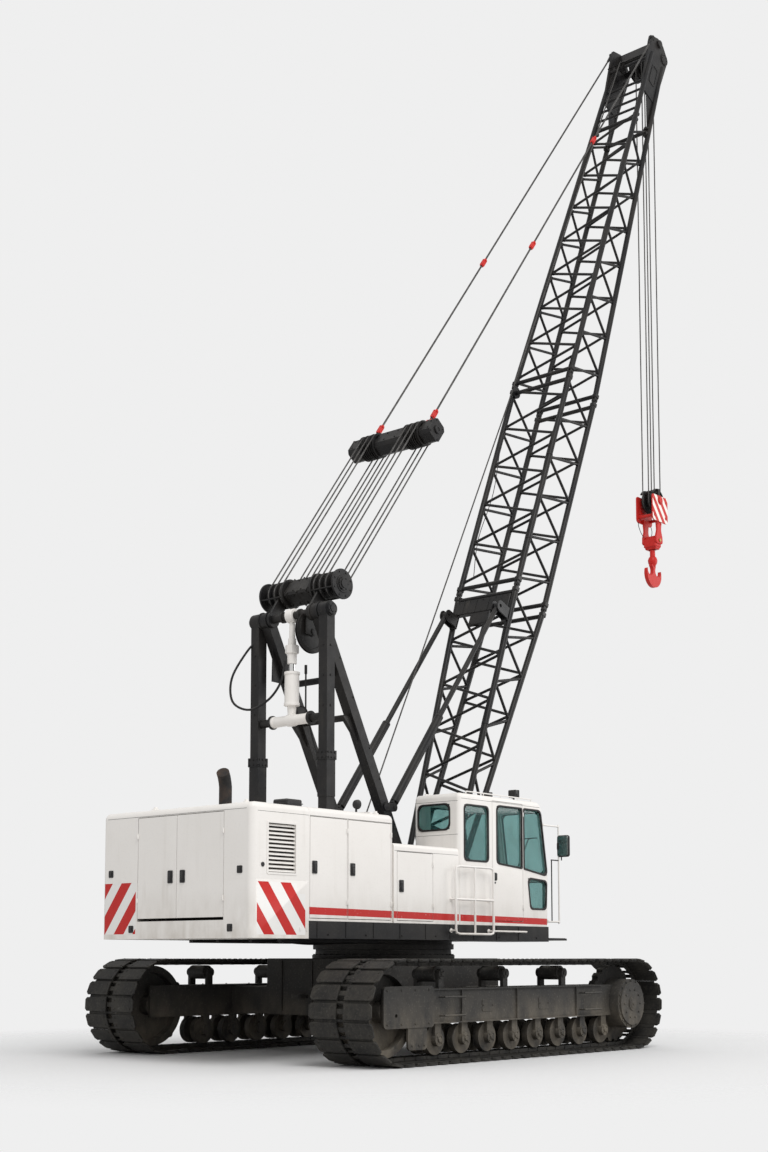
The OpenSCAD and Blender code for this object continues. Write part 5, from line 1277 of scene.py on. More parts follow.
def build_fittings():
    s = Shape()
    for y in (-1.18, -0.7):
        s.bar((1.5, y, 3.52), (1.5, y, 3.572), 0.014, 16)
        s.box((1.452, 1.53), (y - 0.068, y + 0.068), (3.568, 3.678), 0.012)
        s.plate(rounded(rect(y - 0.069, y + 0.069, 3.566, 3.679), 0.012),
                [rounded(rect(y - 0.057, y + 0.057, 3.578, 3.667), 0.008)], "yz", 1.526, 1.549)
        s.tube([(1.49, y - 0.072, 3.58), (1.49, y - 0.072, 3.62)], 0.006, 8)
    s.bar((-1.97, -1.24, 3.107), (-1.97, -1.24, 3.17), 0.014, 16)
    s.turned((-2.0, -1.24, 3.212), X, [(0.0, 0.012), (0.004, 0.04), (0.02, 0.056), (0.05, 0.062),
                                       (0.061, 0.062), (0.061, 0.054), (0.052, 0.052)], 32)
    piece("lamp_housings", s, "upperworks", "plastic", ("lamps",))
    s = Shape()
    for y in (-1.18, -0.7):
        s.box((1.528, 1.541), (y - 0.058, y + 0.058), (3.577, 3.668), 0.006)
    s.turned((-1.952, -1.24, 3.212), X, [(0, 0.053), (0.003, 0.053), (0.01, 0.03), (0.012, 0.005)], 32)
    piece("lamp_lenses", s, "upperworks", "lens")

    s = Shape()
    s.box((-2.795, -2.505), (-0.815, -0.565), (3.15, 3.256), 0.018)
    s.box((-2.76, -2.54), (-0.78, -0.6), (3.107, 3.152), 0.004)
    s.box((-2.8, -2.5), (-0.82, -0.56), (3.196, 3.206), 0.003)
    piece("air_intake", s, "upperworks", "plastic", ("roof_fittings",), soft=0.004)
    s = Shape()
    s.box((-3.45, -3.15), (-0.9, -0.6), (3.107, 3.16), 0.014)
    s.box((-3.42, -3.18), (-0.87, -0.63), (3.158, 3.167), 0.004)
    for x, y, w in ((-1.55, -1.2, 0.04), (-1.48, -1.05, 0.05), (-3.74, 0.55, 0.05), (-3.72, -1.05, 0.04)):
        s.turned((x, y, 3.106), Z, [(0, w), (0.02, w), (0.03, w * 0.6), (0.05, w * 0.5)], 20)
    for y in (-1.0, -0.5, 0.0, 0.5, 1.0):
        s.turned((-3.84, y, 3.104), Z, [(0, 0.014), (0.008, 0.013)], 6)
    s.tube(smooth_path([(-1.4, -0.95, 3.105), (-1.4, -0.95, 3.16), (-1.4, -0.65, 3.16),
                        (-1.4, -0.65, 3.105)], 5), 0.012, 8)
    s.tube(smooth_path([(-1.33, -0.8, 2.751), (-1.33, -0.8, 2.86), (-1.05, -0.8, 2.86),
                        (-1.05, -0.8, 2.751)], 5), 0.012, 8)
    piece("roof_hatches", s, "upperworks", "plain_white", soft=0.003)

    centre = Vector((-3.38, -0.33, 0))
    path = [centre + Vector((0, 0, z)) for z in (3.107, 3.3, 3.38)]
    bend = [Vector((-0.02, -0.011, 3.44)), Vector((-0.055, -0.031, 3.5)), Vector((-0.105, -0.06, 3.55))]
    outer = path + [centre + b for b in bend]
    s = Shape()
    s.tube(outer, 0.08, 28)
    inner = [outer[-1] + (outer[-1] - outer[-2]).normalized() * 0.001]
    s.turned(inner[0], outer[-1] - outer[-2], [(-0.05, 0.02), (-0.05, 0.072), (0.0, 0.074), (0.0, 0.0801),
                                               (-0.012, 0.0801)], 28)
    s.turned((centre.x, centre.y, 3.107), Z, [(0, 0.12), (0.012, 0.12), (0.014, 0.083)], 28)
    piece("exhaust_pipe", s, "upperworks", "soot", ("exhaust",))

    s = Shape()
    y = -BODY_Y - 0.085
    loop = [(-0.18, y, 1.66), (-0.18, y, 2.43), (-0.165, y, 2.49), (-0.1, y, 2.505), (0.58, y, 2.505),
            (0.645, y, 2.49), (0.66, y, 2.43), (0.66, y, 1.66), (0.645, y, 1.61), (0.58, y, 1.595),
            (-0.1, y, 1.595), (-0.165, y, 1.61)]
    s.tube(loop, 0.017, 14, closed=True)
    s.bar((0.24, y, 1.595), (0.24, y, 2.505), 0.016, 14)
    s.bar((-0.18, y, 2.06), (0.66, y, 2.06), 0.016, 14)
    for x in (-0.18, 0.66):
        for z in (1.64, 2.06):
            s.bar((x, y, z), (x, -BODY_Y, z), 0.014, 12)
            s.turned((x, -BODY_Y, z), -Y, [(0, 0.032), (0.008, 0.03)], 16)
    s.bar((0.66, y, 1.64), (1.44, y, 1.64), 0.014, 12, 0.004)
    for x in (1.05, 1.425):
        s.bar((x, y, 1.64), (x, -BODY_Y, 1.64), 0.012, 12)
    piece("hand_rails", s, "upperworks", "plain_white", ("handrails",))

    s = Shape()
    y = -BODY_Y + 0.03
    for z in (1.8, 3.2):
        s.bar((cab_front(z) - 0.004, y, z), (2.4, y, z), 0.013, 14)
        s.turned((cab_front(z) + 0.001, y, z), X, [(0, 0.03), (0.01, 0.028)], 16)
    s.tube(smooth_path([(2.38, y, 1.8), (2.408, y, 1.806), (2.42, y, 1.83), (2.42, y, 2.5), (2.42, y, 3.17),
                        (2.408, y, 3.194), (2.38, y, 3.2)], 4), 0.013, 14)
    s.material = 1
    s.bar((2.235, y, 1.8), (2.235, y, 2.7), 0.009, 12)
    s.bar((2.225, y, 2.7), (2.43, y, 2.7), 0.009, 12)
    s.plate(rounded(rect(y - 0.19, y + 0.02, 2.75, 3.07), 0.04), [], "yz", 2.405, 2.444, 0.01)
    s.box((2.398, 2.436), (y - 0.025, y + 0.02), (2.86, 2.96), 0.006)
    s.bar((2.42, y - 0.05, 2.7), (2.42, y - 0.05, 2.76), 0.009, 12)
    piece("mirror_frame", s, "upperworks", "plain_white plastic", ("mirror",), slot="dark_paint")
    s = Shape()
    s.plate(rounded(rect(y - 0.175, y + 0.005, 2.765, 3.055), 0.03), [], "yz", 2.401, 2.406, 0.001)
    piece("mirror_glass", s, "upperworks", "chrome")


# Gantry


def sheave(s, at, axis, floor, width, hub=0.05, rope=0.011):
    """Rope sheave: floor is the radius at the bottom of its groove."""
    h, rim, g = width / 2, floor + rope * 2.1, rope * 1.2
    web, inner = h * 0.45, floor * 0.84
    half = [(h, 0.004), (h, hub), (web, hub * 1.12), (web, inner - 0.008), (h * 0.9, inner + 0.004),
            (h * 0.9, rim - 0.003), (h * 0.9 - 0.003, rim), (g + 0.002, rim), (g, floor + rope * 0.6),
            (g * 0.7, floor + rope * 0.1)]
    profile = [(-d, r) for d, r in half] + [(0, floor)] + half[::-1]
    s.turned(at, axis, profile, 48)


def build_gantry():
    dressed("gantry_post_pair", "gantry_posts", "upperworks", "dark", 0.012, 3)
    dressed("gantry_leg_pair", "gantry_legs", "upperworks", "dark", 0.012, 3)
    x, z = SHAFT.x, SHAFT.z
    t = Shape()
    for yy in (0.54, 0.612, 0.684):
        for zz in (3.865, 3.935):
            for sx in (-1, 1):
                bolt(t, (x + sx * 0.094, yy + 0.018, zz), X * sx, 0.013)
    for sx in (-0.06, 0.0, 0.06):
        for zz in (3.865, 3.935):
            for yy, way in ((0.724, 1), (0.536, -1)):
                bolt(t, (x + sx, yy, zz), Y * way, 0.013)
    for zz in (4.55, 4.95, 5.35):
        bolt(t, (x, 0.704, zz), Y, 0.014)
        bolt(t, (x - 0.074, 0.63, zz), -X, 0.012)
    t.turned((x, POST_Y + 0.074, z), Y, [(0, 0.1), (0.012, 0.098), (0.014, 0.084), (0.036, 0.082),
                                         (0.037, 0.05), (0.046, 0.048), (0.047, 0.002)], 40)
    for u, v in around(x, z, 0.066, 6, 30):
        bolt(t, (u, POST_Y + 0.108, v), Y, 0.009)
    for yy in (0.405, 0.535):
        t.turned((x, yy - 0.012, z), Y, [(0, 0.118), (0.004, 0.122), (0.02, 0.122), (0.024, 0.118)], 40)
    for zz in (5.25, 4.75, 4.1, 3.7, 3.1, 2.5):
        lx = leg_x(zz)
        bolt(t, (lx + 0.06, 0.544, zz), Y, 0.013)
    t.turned((0.2, 0.35, 1.828), Y, [(0, 0.05), (0.008, 0.05), (0.01, 0.038)], 24)
    piece("gantry_bolts", t.mirrored(), "upperworks", "dark")

    s = Shape()
    s.turned((x, -0.74, z), Y, [(0, 0.03), (0, 0.06), (0.03, 0.07), (0.034, 0.085), (0.034, 0.0555),
                                (0.34, 0.0555), (0.345, 0.072), (0.372, 0.072), (0.376, 0.0555),
                                (0.56, 0.0555), (0.565, 0.075), (0.6, 0.075), (0.605, 0.0555),
                                (0.88, 0.0555), (0.885, 0.075), (0.92, 0.075), (0.925, 0.0555),
                                (1.108, 0.0555), (1.112, 0.072), (1.138, 0.072), (1.142, 0.0555),
                                (1.446, 0.0555), (1.446, 0.085), (1.45, 0.07), (1.48, 0.06), (1.48, 0.03)],
             40)
    dx, dz = x + 0.12, z - 0.23
    sheave(s, (dx, -0.23, dz), Y, 0.266, 0.04, 0.06)
    s.box((x - 0.02, dx + 0.04), (-0.205, -0.19), (dz - 0.05, z), 0.006)
    s.box((x - 0.02, dx + 0.04), (-0.272, -0.257), (dz - 0.05, z), 0.006)
    s.turned((dx, -0.285, dz), Y, [(0, 0.03), (0.005, 0.04), (0.105, 0.04), (0.11, 0.03)], 24)
    piece("gantry_top_shaft", s, "upperworks", "dark", ("gantry_shaft",))

    s = Shape()
    tie = 4.42
    s.turned((x, -0.35, tie), Y, [(0, 0.06), (0, 0.074), (0.004, 0.078), (0.05, 0.078), (0.054, 0.07),
                                  (0.27, 0.07), (0.29, 0.082), (0.41, 0.082), (0.43, 0.07), (0.646, 0.07),
                                  (0.65, 0.078), (0.696, 0.078), (0.7, 0.074), (0.7, 0.06)], 40)
    s.turned((x, 0, tie), Z, [(0.04, 0.05), (0.15, 0.06), (0.188, 0.062), (0.192, 0.104), (0.198, 0.107),
                              (0.226, 0.107), (0.232, 0.104), (0.234, 0.098), (0.606, 0.098), (0.61, 0.104),
                              (0.616, 0.107), (0.644, 0.107), (0.65, 0.1), (0.652, 0.05)], 40)
    s.turned((x, 0, tie), Z, [(0.756, 0.044), (0.758, 0.058), (0.764, 0.064), (0.896, 0.064), (0.9, 0.075)],
             40)
    s.turned((x, 0, tie), Z, [(0.898, 0.04), (0.9, 0.088), (0.906, 0.092), (1.004, 0.092), (1.01, 0.086),
                              (1.012, 0.04)], 8)
    s.turned((x, 0, tie), Z, [(1.01, 0.03), (1.012, 0.055), (1.1, 0.053), (1.11, 0.04), (1.33, 0.037)], 32)
    s.turned((x, -0.06, z), Y, [(0, 0.058), (0, 0.09), (0.006, 0.095), (0.114, 0.095), (0.12, 0.09),
                                (0.12, 0.058)], 40)
    for i in range(5):
        s.turned((x + 0.099, 0.03, tie + 0.26 + i * 0.07), X, [(0, 0.007), (0.004, 0.006)], 8)
    s.box((x + 0.085, x + 0.125), (-0.02, 0.02), (tie + 0.2, tie + 0.245), 0.006)
    piece("mast_cylinder", s, "upperworks", "plain_white", ("gantry_cylinder",))
    s = Shape()
    s.turned((x, 0, tie), Z, [(0.645, 0.03), (0.645, 0.0425), (0.762, 0.0425), (0.762, 0.03)], 40)
    piece("mast_cylinder_rod", s, "upperworks", "chrome")
    s = Shape()
    for yy in (-0.352, 0.352):
        s.ring((x, yy, tie), Y, 0.094, 0.056, 0.036, 40, 0.006)
    s.tube(smooth_path([(x - 0.02, 0.6, 5.6), (x - 0.12, 0.74, 5.42), (x - 0.28, 0.86, 5.05),
                        (x - 0.3, 0.82, 4.72), (x - 0.2, 0.6, 4.6), (x - 0.13, 0.3, 4.72),
                        (x - 0.1, 0.1, 4.95), (x - 0.075, 0.06, 5.22)], 7), 0.016, 10)
    s.tube(smooth_path([(x + 0.12, -0.02, 4.62), (x + 0.16, -0.12, 4.56), (x + 0.16, -0.22, 4.2),
                        (x + 0.1, -0.45, 3.7),
                        (x + 0.08, -0.55, 3.13)], 7), 0.012, 8)
    s.bar((x + 0.1, -0.16, 4.45), (x + 0.1, -0.16, 5.1), 0.012, 10)
    s.bar((x + 0.1, -0.16, 5.04), (x + 0.1, -0.16, 5.16), 0.019, 12)
    piece("gantry_hoses", s, "upperworks", "rubber")

    s = Shape()
    beam = FALL_YS[0] - 0.048
    s.box((-0.148, 0.148), (-beam, beam), (-0.133, 0.133), 0.028, RIG_TURN)
    for yy in (-0.18, 0.0, 0.18):
        s.box((-0.15, 0.15), (yy - 0.008, yy + 0.008), (-0.1355, 0.1355), 0.004, RIG_TURN)
    for yy in (-0.2, -0.07, 0.07, 0.2):
        for t0 in (-0.1, 0.1):
            v = RIG_TURN @ Vector((t0, yy, 0.133))
            bolt(s, v, RIG_UP, 0.012)
            v = RIG_TURN @ Vector((-0.148, yy, t0 * 0.8))
            bolt(s, v, -RIG, 0.012)
    t = Shape()
    t.turned((BAIL.x, beam - 0.014, BAIL.z), Y, [(0, 0.05), (0, 0.2), (0.004, 0.205), (0.024, 0.205),
                                                 (0.028, 0.2), (0.028, 0.05)], 48)
    t.turned((BAIL.x, 0.655, BAIL.z), Y, [(0, 0.05), (0, 0.2), (0.004, 0.205), (0.024, 0.205), (0.03, 0.2),
                                          (0.031, 0.12), (0.04, 0.116), (0.041, 0.092), (0.053, 0.09),
                                          (0.054, 0.06), (0.065, 0.058), (0.0655, 0.002)], 48)
    for u, v in around(BAIL.x, BAIL.z, 0.165, 8, 22):
        bolt(t, (u, 0.684, v), Y, 0.012)
    for u, v in around(BAIL.x, BAIL.z, 0.078, 6):
        bolt(t, (u, 0.707, v), Y, 0.008)
    t.bar((BAIL.x, 0.26, BAIL.z), (BAIL.x, 0.66, BAIL.z), 0.06, 32)
    t.turned((BAIL.x, 0.56, BAIL.z), Y, [(0, 0.085), (0.01, 0.09), (0.09, 0.09), (0.095, 0.085)], 32)
    for yy in FALL_YS:
        sheave(t, (BAIL.x, yy, BAIL.z), Y, 0.1587, 0.052, 0.06)
    for a in (35, 145, 215, 325):
        b = math.radians(a)
        v = RIG_TURN @ Vector((0.185 * math.cos(b), 0, 0.185 * math.sin(b)))
        t.bar((v.x, beam, v.z), (v.x, 0.66, v.z), 0.011, 10)
    way = BAIL - SHAFT
    link_turn = tilted(SHAFT, way)
    t.box((-0.02, way.length), (0.347, 0.383), (-0.094, 0.094), 0.008, link_turn)
    t.turned((SHAFT.x, 0.343, SHAFT.z), Y, [(0, 0.057), (0, 0.105), (0.004, 0.109), (0.04, 0.109),
                                            (0.044, 0.105), (0.044, 0.057)], 40)
    s.join(t.mirrored())
    piece("gantry_head", s, "upperworks", "dark", ("gantry_bail",))


# Boom


CHORD_R, LACE_R, CROSS_R, LUG_R, ROPE_R = 0.045, 0.022, 0.034, 0.042, 0.011


def round_tubes(name, bars, material, sides=20):
    """Geometry nodes: a round tube along every edge, of the edge's own radius, with closed ends."""
    holder, tree, radius = tree_holder(
        name, [p for a, b, _ in bars for p in (a, b)],
        [(2 * i, 2 * i + 1) for i in range(len(bars))], "tube_r",
        [r for _, _, r in bars for _ in (0, 1)], "Sides", "NodeSocketInt")
    new, link = tree.nodes.new, tree.links.new
    start, lines = new("NodeGroupInput"), new("GeometryNodeMeshToCurve")
    ring, skin = new("GeometryNodeCurvePrimitiveCircle"), new("GeometryNodeCurveToMesh")
    ring.inputs["Radius"].default_value = 1.0
    skin.inputs["Fill Caps"].default_value = True
    link(start.outputs["Geometry"], lines.inputs["Mesh"])
    link(start.outputs["Sides"], ring.inputs["Resolution"])
    link(radius, skin.inputs["Scale"])
    link(lines.outputs["Curve"], skin.inputs["Curve"])
    link(ring.outputs["Curve"], skin.inputs["Profile Curve"])
    return run_tree(holder, tree, skin.outputs["Mesh"], material, "Sides", sides)


def section(name, bars, shape, sides, node):
    """Boom section from its tubes and its fittings, which are drawn in the boom's own axes."""
    boom = PAINTS["boom"]
    tubes = round_tubes("tubes", bars, boom, sides)
    obj = as_object(name, boom_shape(shape), [boom])
    outward(obj.data, tubes.data)
    bpy.data.objects.remove(tubes)
    place(obj, "boom", "dark_paint", (node,))


def welded(a, b, r):
    """A lacing tube and the weld beads where it meets its chords."""
    way = (b - a).normalized()
    bead = CHORD_R + 0.004
    return [(a, b, r), (a + way * bead, a + way * (bead + 0.014), r + 0.005),
            (b - way * (bead + 0.014), b - way * bead, r + 0.005)]


def lattice_bars(s0, s1, lace0, lace1, bays):
    bars = []
    step = (lace1 - lace0) / bays
    for side in (-1, 1):
        for face in (-1, 1):
            bars.append((chord(s0, side, face), chord(s1, side, face), CHORD_R))
    for side in (-1, 1):
        for i in range(bays):
            way = 1 if i % 2 == 0 else -1
            at = lace0 + i * step
            bars += welded(chord(at, side, way), chord(at + step, side, -way), LACE_R)
            at += 0.09
            bars += welded(chord(at, way, side), chord(at + step, -way, side), LACE_R)
    return bars


def joint(s, at, forked):
    """Pin joint at the four chords, in the boom's own axes."""
    for side in (-1, 1):
        for face in (-1, 1):
            y, t = side * boom_half(at, HALF_W), face * boom_half(at, HALF_D)
            way = 1 if forked else -1
            near_end, far_end = at + way * 0.05, at + way * 0.13
            s.box(sorted((near_end, far_end)), (y - 0.046, y + 0.046), (t - 0.046, t + 0.046), 0.01)
            if forked:
                for k in (-1, 1):
                    s.box((at, at + 0.052), (y + k * 0.024 - 0.007, y + k * 0.024 + 0.007),
                          (t - 0.041, t + 0.041), 0.002)
                    s.ring((at, y + k * 0.024, t), Y, LUG_R, 0.017, 0.018, 28, 0.003)
                s.bar((at, y - 0.046, t), (at, y + 0.046, t), 0.018, 20, 0.004)
                s.tube([(at, y + side * 0.038, t - 0.03), (at, y + side * 0.038, t + 0.03)], 0.004, 6)
            else:
                s.box((at - 0.052, at - 0.02), (y - 0.012, y + 0.012), (t - 0.041, t + 0.041), 0.002)
                s.ring((at, y, t), Y, LUG_R, 0.0185, 0.028, 28, 0.003)


def cross_tubes(places):
    return [(chord(s, -1, face), chord(s, 1, face), CROSS_R) for s in places for face in (-1, 1)]


def boom_shape(s):
    """A shape drawn in the boom's own axes, turned to where the boom stands."""
    return Shape().join(s, BOOM_TURN)


def build_boom(sides):
    s = Shape()
    joint(s, JOINTS[0], False)
    eye = arc((0, 0), 0.13, 90, 270, 24) + [(0.39, -0.122), (0.39, 0.122)]
    for side in (-1, 1):
        y = span(side, 0.384, 0.476)
        s.plate(eye, [circle(0, 0, 0.0603, 40)], "xz", *y, 0.005)
        s.ring((0, side * 0.4765, 0), Y, 0.095, 0.0603, 0.002, 40, 0.0005)
        s.box((0.13, 0.36), (side * 0.43 - 0.049, side * 0.43 + 0.049), (-0.01, 0.01), 0.003)
        half_d = boom_half(4.62, HALF_D)
        s.box((4.51, 4.73), span(side, 0.434, 0.56), (half_d + 0.02, half_d + 0.06), 0.006)
        for y0 in (0.434, 0.542):
            cheek = rounded([(4.53, half_d + 0.03), (4.71, half_d + 0.03), (4.71, 0.69), (4.53, 0.69)],
                            [0.004, 0.004, 0.075, 0.075], 8)
            s.plate(cheek, [circle(4.62, 0.62, 0.0262, 24)], "xz", *span(side, y0, y0 + 0.018), 0.002)
    s.box((4.735, 4.985), (-0.52, 0.52), (0.335, 0.425), 0.008)
    s.box((4.52, 4.738), (-0.19, 0.19), (0.345, 0.415), 0.008)
    for y in (-0.47, -0.25, 0.0, 0.25, 0.47):
        for x in (4.765, 4.955):
            bolt(s, (x, y, 0.424), Z, 0.009, 0.007)
    for y in (-0.36, -0.12, 0.12, 0.36):
        s.box((4.745, 4.975), (y - 0.004, y + 0.004), (0.424, 0.431), 0.001)
    for y in (-0.15, 0.15):
        for x in (4.55, 4.69):
            bolt(s, (x, y, 0.414), Z, 0.008, 0.006)
    bars = lattice_bars(0.33, JOINTS[0] - 0.07, 0.5, JOINTS[0] - 0.16, 12)
    bars += cross_tubes([JOINTS[0] - 0.12]) + [(on_boom(0.33, -0.43, 0), on_boom(0.33, 0.43, 0), CHORD_R)]
    section("boom_lower_section", bars, s, sides, "boom_base")

    s = Shape()
    joint(s, JOINTS[0], True)
    joint(s, JOINTS[1], False)
    y_pulley, half = 0.495, boom_half(9.14, HALF_W)
    sheave(s, (9.14, y_pulley, 0.39), Y, 0.0787, 0.026, 0.028)
    s.bar((9.14, y_pulley - 0.026, 0.39), (9.14, half - 0.02, 0.39), 0.02, 16, 0.003)
    s.plate(rounded([(9.09, 0.36), (9.19, 0.36), (9.165, 0.425), (9.115, 0.425)], 0.015), [], "xz", 0.523,
            0.533)
    bars = lattice_bars(JOINTS[0] + 0.07, JOINTS[1] - 0.07, JOINTS[0] + 0.12, JOINTS[1] - 0.16, 10)
    bars += cross_tubes([JOINTS[0] + 0.1, JOINTS[1] - 0.12])
    section("boom_centre_section", bars, s, sides, "boom_middle")

    s = Shape()
    joint(s, JOINTS[1], True)
    j3 = JOINTS[2]
    for side in (-1, 1):
        for face in (-1, 1):
            y, t = side * 0.41, face * 0.19
            for k in (-1, 1):
                s.box((j3 + k * 0.065 - 0.028, j3 + k * 0.065 + 0.028), (y - 0.046, y + 0.046),
                      (t - 0.046, t + 0.046), 0.008)
                bolt(s, (j3 + k * 0.065, y + side * 0.045, t), Y * side, 0.012)
        head = [(j3 + 0.7, -0.235), (16.94, -0.29), (17.09, -0.29), (17.23, -0.06), (17.23, 0.12),
                (17.09, 0.35), (16.98, 0.35), (j3 + 0.7, 0.235)]
        head = rounded(head, [0.01, 0.03, 0.07, 0.07, 0.08, 0.05, 0.05, 0.01], 6)
        y0, y1 = span(side, 0.38, 0.42)
        s.plate(head, [circle(PIN_S, PIN_T, 0.0503, 32)], "xz", y0, y1, 0.004)
        gusset = [(j3 + 0.06, -0.215), (j3 + 0.72, -0.232), (j3 + 0.72, 0.06)]
        s.plate(gusset, [], "xz", side * 0.4 - 0.008, side * 0.4 + 0.008, 0.002)
        out = side * 0.42
        s.turned((PIN_S, out, PIN_T), Y * side, [(0, 0.051), (0, 0.108), (0.012, 0.108), (0.015, 0.1),
                                                 (0.015, 0.051)], 40)
        for u, v in around(PIN_S, PIN_T, 0.082, 8, 20):
            bolt(s, (u, out + side * 0.014, v), Y * side, 0.008)
        s.turned((17.14, side * 0.4, 0.06), Y * side,
                 [(0, 0.07), (0.05, 0.07), (0.056, 0.064), (0.058, 0.03), (0.058, 0.004)], 40)
        for u, v in around(17.14, 0.06, 0.048, 6):
            bolt(s, (u, side * 0.455, v), Y * side, 0.006, 0.005)
        for x, t in ((16.0, 0.19), (16.3, 0.2), (16.6, 0.215), (16.0, -0.19), (16.3, -0.205),
                     (16.6, -0.22)):
            bolt(s, (x, out, t), Y * side, 0.009)
        s.plate(rounded(rect(16.2, 16.62, -0.1, 0.1), 0.05),
                [rounded(rect(16.225, 16.595, -0.075, 0.075), 0.035)],
                "xz", *sorted((out, out + side * 0.008)), 0.002)
    s.box((16.96, 17.21), (-0.4, 0.4), (0.03, 0.118), 0.012)
    s.box((16.42, 16.54), (-0.4, -0.25), (-0.2, -0.185), 0.003)
    for k in (-1, 1):
        y = -0.29 + k * 0.034
        s.plate(arc((16.48, -0.3), 0.06, 180, 360, 16) + [(16.54, -0.186), (16.42, -0.186)], [], "xz",
                y - 0.007, y + 0.007, 0.002)
    sheave(s, (16.48, -0.29, -0.3), Y, 0.058, 0.03, 0.024, 0.008)
    s.bar((16.48, -0.35, -0.3), (16.48, -0.23, -0.3), 0.02, 16, 0.004)
    bars = lattice_bars(JOINTS[1] + 0.07, HEAD_S - 0.3, JOINTS[1] + 0.12, j3, 15)
    bars += cross_tubes([JOINTS[1] + 0.1, j3])
    for ds in (0.25, 0.48, 0.71, 0.94):
        bars.append((chord(j3 + ds, -1, 1), chord(j3 + ds, 1, 1), LACE_R))
    section("boom_upper_section", bars, s, sides, "boom_tip")

    s = Shape()
    s.bar((PIN_S, -0.43, PIN_T), (PIN_S, 0.43, PIN_T), 0.05, 32, 0.006)
    for y in (-0.18, -0.06, 0.06, 0.18):
        sheave(s, (PIN_S, y, PIN_T), Y, 0.1887, 0.056, 0.075)
    for y in (-0.3, -0.12, 0.0, 0.12, 0.3):
        s.turned((PIN_S, y - 0.01, PIN_T), Y, [(0, 0.05), (0, 0.066), (0.02, 0.066), (0.02, 0.05)], 28)
    s.bar((GUIDE_S, -0.3797, GUIDE_T), (GUIDE_S, 0.3797, GUIDE_T), 0.028, 24, 0.003)
    sheave(s, (GUIDE_S, 0.12, GUIDE_T), Y, 0.09, 0.036, 0.042)
    for _ in range(2):
        s.bar((GUIDE_S, -0.3797, 0.365), (GUIDE_S, 0.3797, 0.365), 0.01, 10)
    piece("head_sheave_pack", boom_shape(s), "boom", "boom", ("boom_head_sheaves",))

    s = Shape()
    for side in (-1, 1):
        s.turned((0, side * 0.375, 0), Y * side, [(0, 0.054), (0.003, 0.06), (0.168, 0.06), (0.172, 0.054),
                 (0.172, 0.034), (0.178, 0.032), (0.178, 0.004)], 32)
    piece("foot_pins", boom_shape(s), "upperworks", "steel", ("boom_foot_pins",))

    s = Shape()
    line = []
    for i in range(19):
        at = 1.2 + i * 0.8
        y = -(boom_half(at, HALF_W) - 0.02)
        t = boom_half(at, HALF_D) + 0.056
        line.append((at, y, t if i % 2 == 0 else t - 0.03))
        if i % 2 == 0:
            s.ring((at, -boom_half(at, HALF_W), boom_half(at, HALF_D)), X, CHORD_R + 0.006, CHORD_R, 0.02,
                   20, 0.002)
    s.tube(smooth_path(line, 4), 0.008, 8)
    loose = [(5.4, 0.3, 0.44), (6.1, 0.36, 0.5), (7.0, 0.33, 0.47), (8.0, 0.4, 0.52), (9.1, 0.5, 0.44)]
    s.tube(smooth_path(loose, 5), 0.006, 8)
    piece("boom_cables", boom_shape(s), "boom", "rubber")

    foot = Vector((leg_x(3.33) + 0.165, 0, 3.33))
    top = on_boom(4.62, 0, 0.62)
    way = top - foot
    back = tilted(foot, way)
    s, rod = Shape(), Shape()
    for y in (-0.497, 0.497):
        s.turned((0, y, 0), X, [(0.095, 0.03), (0.095, 0.056), (0.101, 0.062), (1.7, 0.062), (1.702, 0.059),
                                (1.712, 0.059), (1.714, 0.062), (1.744, 0.062), (1.75, 0.058),
                                (1.75, 0.0385), (0.13, 0.0385), (0.13, 0.03)], 40)
        s.ring((0, y, 0), Y, 0.06, 0.0263, 0.08, 40, 0.004)
        s.box((0.045, 0.104), (y - 0.038, y + 0.038), (-0.05, 0.05), 0.006)
        s.turned((0.2, y, 0.06), Z, [(-0.01, 0.008), (0.002, 0.008), (0.002, 0.004)], 10)
        rod.bar((0.6, y, 0), (way.length - 0.04, y, 0), 0.038, 40, 0.004)
        rod.ring((way.length, y, 0), Y, 0.05, 0.024, 0.08, 40, 0.004)
        rod.bar((way.length, y - 0.0447, 0), (way.length, y + 0.0447, 0), 0.026, 24, 0.004)
    piece("backstop_barrels", Shape().join(s, back), "backstop_tube", "dark", ("backstop_tubes",))
    piece("backstop_sliders", Shape().join(rod, back), "backstop_rod", "dark", ("backstop_rods",),
          slot="pin_steel")


# Rigging


def ropes(name, runs, body, replaced=(), r=ROPE_R, sides=12):
    """Ropes along paths; the UV map holds the place round the rope and the metres along it."""
    verts, faces, uvs = [], [], []
    for points in runs:
        base, marks, last = len(verts), [], None
        for p, across, up in path_frames(points):
            marks.append(marks[-1] + (p - last).length if marks else 0.0)
            last = p
            verts += round_points(p, across, up, r, sides)
        for i in range(len(marks) - 1):
            low, high = base + i * sides, base + (i + 1) * sides
            for k in range(sides):
                after = (k + 1) % sides
                faces.append((low + k, low + after, high + after, high + k))
                u0, u1 = k / sides, (k + 1) / sides
                uvs += [(u0, marks[i]), (u1, marks[i]), (u1, marks[i + 1]), (u0, marks[i + 1])]
        for start in (base, len(verts) - sides):
            faces.append(tuple(range(start, start + sides)))
            uvs += [(0, 0)] * sides
    mesh = bpy.data.meshes.new(name)
    mesh.from_pydata([v[:] for v in verts], [], faces)
    mesh.materials.append(PAINTS["rope"])
    layer = mesh.uv_layers.new(name="along")
    layer.data.foreach_set("uv", [c for uv in uvs for c in uv])
    outward(mesh)
    return place(linked(name, mesh), body, "rope_steel", replaced)


def wrap(centre, r, start, end, y, turn, steps=20):
    """Points round a sheave, in the axes of turn; angles from the local x axis towards local z."""
    points = arc((centre[0], centre[1]), r, start, end, steps)
    return [turn @ Vector((u, y, v)) for u, v in points]


